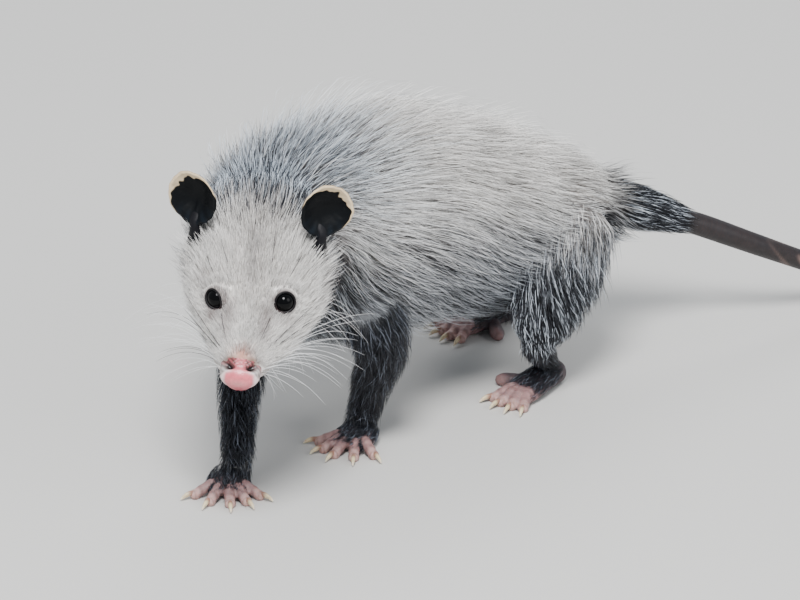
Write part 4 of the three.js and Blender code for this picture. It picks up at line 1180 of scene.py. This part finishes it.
def headFur():
    # lengths by the place back from the nose * 1.75 on the cheeks, and shorter before the eyes
    rng = np.random.default_rng(faceFur["seed"])

    def share(t, a, p):
        # none between the lids, round the nose or inside the neck, and more above and in front
        shown = np.ones(len(t))
        for side in (1, -1):
            x, y, z = inEye(p, side)
            shown = np.where((lidOpening(x, y, side) < 1.1) & (z > -4), 0, shown)
        back, aside, high = headPlace(p)
        bare = (back < 13 + 3 * (rng.random(len(t)) - 0.5)) & (high > 5) & (np.abs(aside) < 8)
        bare |= (back < 9.5) | (depthIn(p, skins["trunk"])[0] < 0.85)
        amount = np.where(np.sin(a) > -0.35, 1.35, 0.8) * (1 + 1.3 * ease(-t, -0.5, -0.1))
        return np.where(bare, 0, shown) * amount

    t, a = evenRoots(headSkin, faceFur, rng, share)
    n = len(t)
    back = np.interp(t, np.linspace(0, 1, len(skullRows)), skullRows[:, 0])
    cheek = ease(np.abs(np.cos(a)), 0.6, 0.95) * ease(back, 45, 75)
    cheek = cheek * (1 - 0.7 * ease(back, 74, 94))
    crown = ease(np.sin(a), 0.0, 0.6) * ease(back, 84, 112)
    # the left side of the muzzle is fuller, as its lip hangs
    full = ease(np.cos(a), 0.45, 0.9) * ease(-np.sin(a), -0.35, 0.0)
    full = full * ease(back, 14, 24) * ease(-back, -64, -46)
    length = np.interp(back, faceFur["backs"], faceFur["lengths"]) * rng.uniform(*faceFur["vary"], n)
    length = length * (1 + 0.75 * cheek) * (1 + 0.5 * full)
    root = headSkin(t, a)
    for side in (1, -1):  # hairs before an eye end short of it
        v = root - eyePlace(side)
        left = np.linalg.norm(v, axis=-1) - faceFur["eyeRoom"]
        closeBy = (left < 9) & (unit(v) @ eyeFrame(side)[2] > -0.2) & (v @ headBack < 3)
        length = np.where(closeBy, np.minimum(length, np.maximum(left * 0.9, 1.2)), length)
    pullT, pullA, own = clumps(t, a, faceFur, rng)
    sideways = (-np.cos(a) * (0.12 + 0.18 * cheek) + rng.normal(0, 0.1, n)) * length
    lift = rng.uniform(0.4, 1.0, n) * (1 + 0.8 * cheek + 0.7 * crown + 1.4 * full)
    lift = lift + 0.15 * own + 0.9 * rng.random(n) ** 4 * (1 + cheek)
    path = combed(headSkin, t, a, faceFur, length, lift, sideways, pullT, pullA)
    # the markings' edges are ragged, as each hair takes its colour from a place a little off its own
    ragged = rng.normal(0, 1, (n, 3)) * np.array([2.2, 1.0, 1.0])
    shade = faceColour(path + (ragged[:, :1] * headBack + ragged[:, 1:2] * headLeft)[:, None])
    s = np.array(faceFur["rows"])[None, :, None]
    # each hair is darker towards its root, as painted shadow between the hairs, and paler towards its tip
    colour = blend(shade * 0.68, blend(shade, 0.86, 0.25), ease(s, 0, 0.8))
    # slate hairs towards the nape, and strands of the flank's colours low down towards the neck
    slate = blend(coatColours["nape"]["dark"], coatColours["nape"]["under"], ease(s, 0.2, 0.9))
    colour = chosen(rng.random(n) < 0.6 * crown**1.4, slate, colour)
    neck = ease(back + 2.5 * ragged[:, 0], 68, 88) * ease(-np.sin(a), -0.6, 0.05)
    strand = blend(coatColours["flank"]["under"], coatColours["flank"]["guard"], ease(s, 0.3, 0.9))
    strand = chosen(rng.random(n) < 0.35, slate, strand)
    colour = chosen(rng.random(n) < neck, strand, colour)
    colour = chosen(rng.random(n) < 0.05 + 0.02 * ease(back, 50, 90), colour * 0.5, colour)
    colour = colour * rng.uniform(*faceFur["shade"], (n, 1, 1))
    toEars = [np.linalg.norm(root - earRoot(side) - headUp, axis=1) for side in (1, -1)]
    beside = np.min(toEars, axis=0)
    black = (rng.random(n) < 1.5 * bell(beside, 3, 5.5)) & (back > 82)
    colour = chosen(black, coatColours["black"]["under"], colour)
    stout = np.interp(back, (0, 30, 90, 130), (0.75, 0.95, 1.15, 1.5))[:, None]
    middle = spline(skullSkin["at"], t)[:, None]
    hairPieces("fur_face", path, rng, faceFur, colour, t, a, middle, finishes["coat"],
               stout)


crownHair = {
    "count": 4600, "length": 30, "width": 0.2, "rows": (0, 0.25, 0.55, 0.8, 1), "taper": (1, 0.9, 0.6),
    "thinnest": 0.7, "bend": 1.3, "root": 0.2, "span": (0.6, 0.98), "clump": (0.03, 0.13, 0.3, 0.03),
    "vary": (0.6, 1.15), "shade": (0.85, 1.1),
    "dark": 0.52,  # share of dark hairs
}


def crownFur():
    # the nape's guard hairs, which start on the crown: lift and length grow with the place back
    rng = np.random.default_rng(faceFur["seed"] + 1)

    def share(t, a, p):
        # more towards the nape and on top, and none inside the neck
        wanted = ease(headPlace(p)[0], 84, 110) * ease(np.sin(a), -0.25, 0.5)
        return np.where(depthIn(p, skins["trunk"])[0] < 0.8, 0, wanted)

    t, a = evenRoots(headSkin, crownHair, rng, share)
    n = len(t)
    far = ease(headPlace(headSkin(t, a))[0], 84, 116)
    length = crownHair["length"] * rng.uniform(*crownHair["vary"], n) * (0.5 + 0.5 * far)
    pullT, pullA, own = clumps(t, a, crownHair, rng)
    lift = rng.uniform(0.8, 2.1, n) * (0.5 + 0.7 * far) + 0.2 * own
    sideways = (-np.cos(a) * 0.1 + rng.normal(0, 0.09, n)) * length
    path = combed(headSkin, t, a, crownHair, length, lift, sideways, pullT, pullA)
    s = np.array(crownHair["rows"])[None, :, None]
    look = coatColours["nape"]
    pale = blend(faceColours["fur"], look["guard"], far[:, None, None])
    base = blend(faceColours["streak"], look["dark"], far[:, None, None])
    colour = chosen(rng.random(n) < crownHair["dark"], blend(base, look["under"], s * 0.6),
                    blend(base, pale, ease(s, 0.25, 0.75)))
    colour = colour * rng.uniform(*crownHair["shade"], (n, 1, 1))
    middle = spline(skullSkin["at"], t)[:, None]
    hairPieces("fur_crown", path, rng, crownHair, colour, t, a, middle, finishes["coat"])


headFur()
crownFur()

# The tops of the feet from wrist or heel to the toes' roots: forward, up, half width and half height.
footBacks = {
    "hand": ((-15, 3, 9, 8), (-9, 1.5, 12, 8), (-1, 0.5, 13.8, 8), (6, 0, 13.8, 7.2),
             (13, -0.5, 12, 5.5)),
    "sole": ((-7, 3, 8, 8), (4, 3, 10, 8.4), (16, 2, 12, 7.4), (26, 1, 13, 6.2), (33, 0, 12.6, 5)),
}


def footBack(side, kind):
    # the foot's middle + its heading * forward, as stations of a run
    plan = feet[kind][side]
    middle, heading = np.array([*plan["at"], 5.0]), planWay(plan["heading"])
    return [[*(middle + heading * b + [0, 0, up]), w, h, h, 1.3] for b, up, w, h in footBacks[kind]]


def addFootRuns():
    # skin and fur tips of the tops of all four feet
    for kind in footBacks:
        for side in ("right", "left"):
            stations = footBack(side, kind)
            skins[kind + side.title()], tips[kind + side.title()] = run(stations, fur=1), run(stations)


addFootRuns()

legFur = {  # for all limbs, where their own look says nothing else
    "rows": (0, 0.3, 0.68, 1), "taper": (1, 0.75), "thinnest": 0.75, "bend": 1.6, "root": 0.3,
    "span": (0, 0.99), "clump": (0.06, 0.35, 0.3, 0.06), "loose": 0.1, "seed": 21,
    # the pale tip colour of leg hairs is partly real white hairs and partly a painted bluish sheen
    "vary": (0.7, 1.15), "shade": (0.7, 1.25), "paleTipAndSheen": paint(130, 137, 150),
}
# Pale is the share of pale hairs, lift how far they stand off, loose how unevenly they lie, back how far a
# thigh's tips lean back, and bare the turn below which a foot has no hair.
thighHair = {"count": 5300, "length": 34, "pale": 0.27, "lift": 1.0, "width": 0.25, "back": 0.42}
shankHair = {"count": 1500, "length": 12, "pale": 0.06, "lift": 1.3, "width": 0.22, "span": (0.1, 0.99)}
forelegHair = {"count": 4500, "length": 24, "pale": 0.15, "lift": 2.2, "width": 0.2,
               "span": (0.12, 0.99), "loose": 0.16}
footHair = {"count": 1100, "length": 12, "pale": 0.12, "lift": 1.2, "width": 0.18,
            "span": (0, 0.95), "loose": 0.2, "bare": -0.05}
legHair = {
    "thighLeft": thighHair, "thighRight": thighHair, "shankLeft": shankHair, "shankRight": shankHair,
    "forelegRight": forelegHair, "forelegLeft": forelegHair,
    "handRight": footHair, "handLeft": footHair, "soleRight": footHair, "soleLeft": footHair,
    "tail": {"count": 2600, "length": 24, "pale": 0.2, "lift": 1.05, "width": 0.3, "span": (0, 0.235)},
}


def limbCoat(name, number):
    # black and pale hairs by the look's share, passing into the flank's colours high on the thighs
    look = {**legFur, **legHair[name]}
    rng = np.random.default_rng(look["seed"] + number)
    surface = betweenRuns(skins[name], tips[name])
    thigh = name.startswith("thigh")

    def share(t, a, p):
        # none inside the trunk or under a foot
        buried = depthIn(p, skins["trunk"])[0] < (0.84 if thigh else 0.93)
        return np.where(buried | (np.sin(a) < look.get("bare", -2)), 0, 1)

    t, a = evenRoots(surface, look, rng, share)
    n = len(t)
    length = look["length"] * rng.uniform(*look["vary"], n)
    if "bare" in look:
        length = length * (1 - 0.35 * ease(t, 0.45, 0.9))
    if thigh:
        length = length * (1 - 0.6 * ease(t, 0.6, 0.95))
    pullT, pullA, own = clumps(t, a, look, rng)
    lift = rng.uniform(0.35, 1.0, n) * look["lift"] + 0.5 * (rng.random(n) < 0.04)
    sideways = (rng.normal(0, look["loose"], n) + 0.1 * own) * length
    path = combed(surface, t, a, look, length, lift, sideways, pullT, pullA)
    path[:, 1:] += rng.normal(0, 0.2, (n, 3, 3))
    s = np.array(look["rows"])[None, :, None]
    middle = spline(skins[name]["at"], t)[:, None]
    if thigh:  # on the leg's outer and inner side the tips lean back
        beside = np.abs(unit(path[:, 0] - middle[:, 0])[:, :1])
        path[:, :, 1] += look["back"] * length[:, None] * beside * s[:, :, 0] ** 1.3
    # the black hairs lighten to a bluish tip, a painted sheen
    black = coatColours["black"]
    # pale hairs on legs and feet are partly white hairs and partly a painted bluish sheen; on thighs and
    # tail they are white hairs
    guard = coatColours["haunch"]["guard"] if thigh or name == "tail" else look["paleTipAndSheen"]
    pale = rng.random(n) < look["pale"]
    colour = chosen(pale, blend(black["under"], guard, ease(s, 0.05, 0.5)),
                    blend(black["under"], black["guard"], s))
    colour = colour * rng.uniform(*look["shade"], (n, 1, 1))
    if thigh:
        ragged = rng.normal(0, 1, n)
        high = ease(path[:, 0, 2] + 6 * ragged, 94, 122)[:, None, None]
        weights = coatZones(path[:, 0], ragged)[:, None]
        flank = chosen(rng.random(n) < 0.3, zoneHair(weights, "dark", s, 0.1, 0.6),
                       zoneHair(weights, "guard", s, 0.15, 0.7) * 0.95)
        colour = blend(colour, flank * rng.uniform(0.85, 1.1, (n, 1, 1)), high)
    fabric = finishes["coat" if thigh else "glossyFur"]
    hairPieces("fur_" + name, path, rng, look, colour, t, a, middle, fabric)


for limbNumber, limbName in enumerate(legHair):
    limbCoat(limbName, limbNumber)

# Whiskers and long bristles: thin tubes that bow and taper to a point.
whiskers = {
    "radius": 0.125, "thick": 0.24, "white": paint(236, 236, 236), "dark": paint(42, 36, 38), "seed": 3,
}
darkWhiskers = (  # root and tip as back, aside and high in the head, how far it bows, and its side
    ((62, 11.7, 20.5), (87, 22, 25), 4, -1), ((59, 21, 17), (82, 32, 20), 3, -1),
    ((41, 16, 12), (19, 9.6, 13), 2, -1), ((18, 13.5, 7.5), (58, 42, 4), 5, -1),
    ((17, 14, 6), (50, 41, -4), 6, -1), ((59, 10.6, 20.5), (104, 10, 29), 5, 1),
    ((58, 20, 18), (94, 33, 22), 4, 1), ((42, 15, 13.5), (20, 9.6, 14), 2, 1),
    ((18, 13.5, 7.5), (61, 42, 4), 5, 1), ((17, 14.5, 6), (56, 44, -5), 6, 1),
)


def whiskerShell(root, way, bow, radius, colour):
    # root + way * s + bow * 4 s (1 - s), with a round section that thins to the tip
    s = np.linspace(0, 1, 16)[:, None]
    line = root + way * s + bow * (4 * s * (1 - s))
    line[:, 2] = np.maximum(line[:, 2], 0.5)
    fat = radius * (1 - s[:, 0]) ** 0.6 + 0.03
    square = unit(np.cross(unit(way), (0.3, 0.9, 0.35)))
    strand = run(np.column_stack([line, fat, fat, fat, 0 * fat]), square)
    return gridShell(tubeGrid(strand, 18, 5), colour)


def makeWhiskers():
    # rows on the muzzle, bristles on cheeks and chin, and the long dark ones, all as one piece
    rng = np.random.default_rng(whiskers["seed"])
    radius, white = whiskers["radius"], whiskers["white"]
    shells = []

    def rootOn(back, a, side):
        # the skin so far back from the nose, at this turn on either side
        t = np.interp(back, skullRows[:, 0], np.linspace(0, 1, len(skullRows)))
        return headSkin(np.array([t]), np.array([a if side > 0 else np.pi - a]))[0]

    def grow(root, way, length, bow, fat, colour):
        # one more strand, with way and bow times its length
        shells.append(whiskerShell(root, way * length, bow * length, fat, colour))

    for side in (1, -1):
        for row in range(4):
            for k in range(6):
                back = 10 + k * 4 + rng.uniform(-1.2, 1.2)
                root = rootOn(back, 0.12 - row * 0.2 + 0.02 * k, side)
                back = 0.32 - 0.2 * row + 0.07 * k + rng.uniform(-0.12, 0.12)
                way = headWay(back, side, rng.uniform(-0.25, 0.05) - 0.12 * row)
                length = rng.uniform(24, 40) + 3.5 * k
                bow = headWay(0.7, 0, 0.6) * rng.uniform(0.06, 0.16)
                colour = white if rng.random() < 0.86 else whiskers["dark"]
                grow(root, way, length, bow, radius, colour)
        for k in range(9):  # from the cheek
            root = rootOn(48 + 2.4 * k, rng.uniform(-0.75, -0.2), side)
            way = headWay(rng.uniform(-0.5, 0.3), side, rng.uniform(-1.0, -0.2))
            length = rng.uniform(26, 48)
            bow = headWay(0.8, 0, 0.4) * rng.uniform(0.08, 0.18)
            grow(root, way, length, bow, radius * 0.9, white)
    for k in range(46):  # under the lips and chin
        side = rng.choice([-1, 1])
        root = rootOn(rng.uniform(10, 44), -rng.uniform(0.5, 1.5), side)
        way = headWay(rng.uniform(-0.75, 0.1), side * rng.uniform(0, 0.9), -1)
        bow = headWay(-0.4, side * 0.4, 0) * 0.12
        grow(root, way, rng.uniform(12, 30), bow, radius * 0.7, white * 0.8)
    for root, tip, bow, side in darkWhiskers:
        root, tip = (inHead(p[0], side * p[1], p[2]) for p in (root, tip))
        bow = headWay(-0.2, side * 0.3, 1) * bow
        grow(root, tip - root, 1, bow, whiskers["thick"], whiskers["dark"])
    makeObject("whiskers", shells, [finishes["whisker"]])


makeWhiskers()
print("whiskers made")

# Camera, floor and soft studio light. Each lamp has its place, size and watts.
view = {
    "azimuth": 45, "elevation": 25, "distance": 4.5, "target": (-0.1165, -0.0009, 0), "lens": 308.8,
}
studio = {
    "floor": (0.6, 0.59, 0.57, 1), "floorRoughness": 0.9,
    "sky": (0.87, 0.93, 1, 1), "skyStrength": 0.7,
    "lamps": {"overhead": ((0.75, -1.05, 2.1), 0.85, 80), "side": ((2.0, 0.4, 1.4), 1.4, 15),
              "rim": ((-1.2, 1.2, 1.6), 1.2, 18)},
}


def makeStage():
    # the camera at the target + the way back * distance, and discs of light that face the animal
    azimuth, elevation = np.radians([view["azimuth"], view["elevation"]])
    flat = np.cos(elevation)
    back = Vector((np.sin(azimuth) * flat, -np.cos(azimuth) * flat, np.sin(elevation)))
    right = Vector((np.cos(azimuth), np.sin(azimuth), 0))
    turn = Matrix((right, back.cross(right), back)).transposed().to_4x4()
    link = bpy.context.scene.collection.objects.link
    camera = bpy.data.objects.new("camera", bpy.data.cameras.new("camera"))
    camera.matrix_world = Matrix.Translation(Vector(view["target"]) + back * view["distance"]) @ turn
    camera.data.lens = view["lens"]
    camera.data.clip_end = 50
    link(camera)
    bpy.context.scene.camera = camera

    mesh = bpy.data.meshes.new("floor")
    mesh.from_pydata([(-6, -6, 0), (6, -6, 0), (6, 6, 0), (-6, 6, 0)], [], [(0, 1, 2, 3)])
    floor = bpy.data.objects.new("floor", mesh)
    floorLook = bpy.data.materials.new("floor")
    floorLook.use_nodes = True
    shader = floorLook.node_tree.nodes["Principled BSDF"]
    shader.inputs["Base Color"].default_value = studio["floor"]
    shader.inputs["Roughness"].default_value = studio["floorRoughness"]
    mesh.materials.append(floorLook)
    link(floor)

    world = bpy.data.worlds.new("studio")
    bpy.context.scene.world = world
    world.use_nodes = True
    sky = world.node_tree.nodes["Background"]
    sky.inputs["Color"].default_value = studio["sky"]
    sky.inputs["Strength"].default_value = studio["skyStrength"]
    for name, (place, size, watts) in studio["lamps"].items():
        lamp = bpy.data.objects.new(name, bpy.data.lights.new(name, "AREA"))
        lamp.data.shape = "DISK"
        lamp.data.size = size
        lamp.data.energy = watts
        lamp.location = place
        backwards = Vector(place) - Vector((0, 0, 0.1))
        lamp.rotation_euler = backwards.to_track_quat("Z", "Y").to_euler()
        link(lamp)


makeStage()
print("stage made")
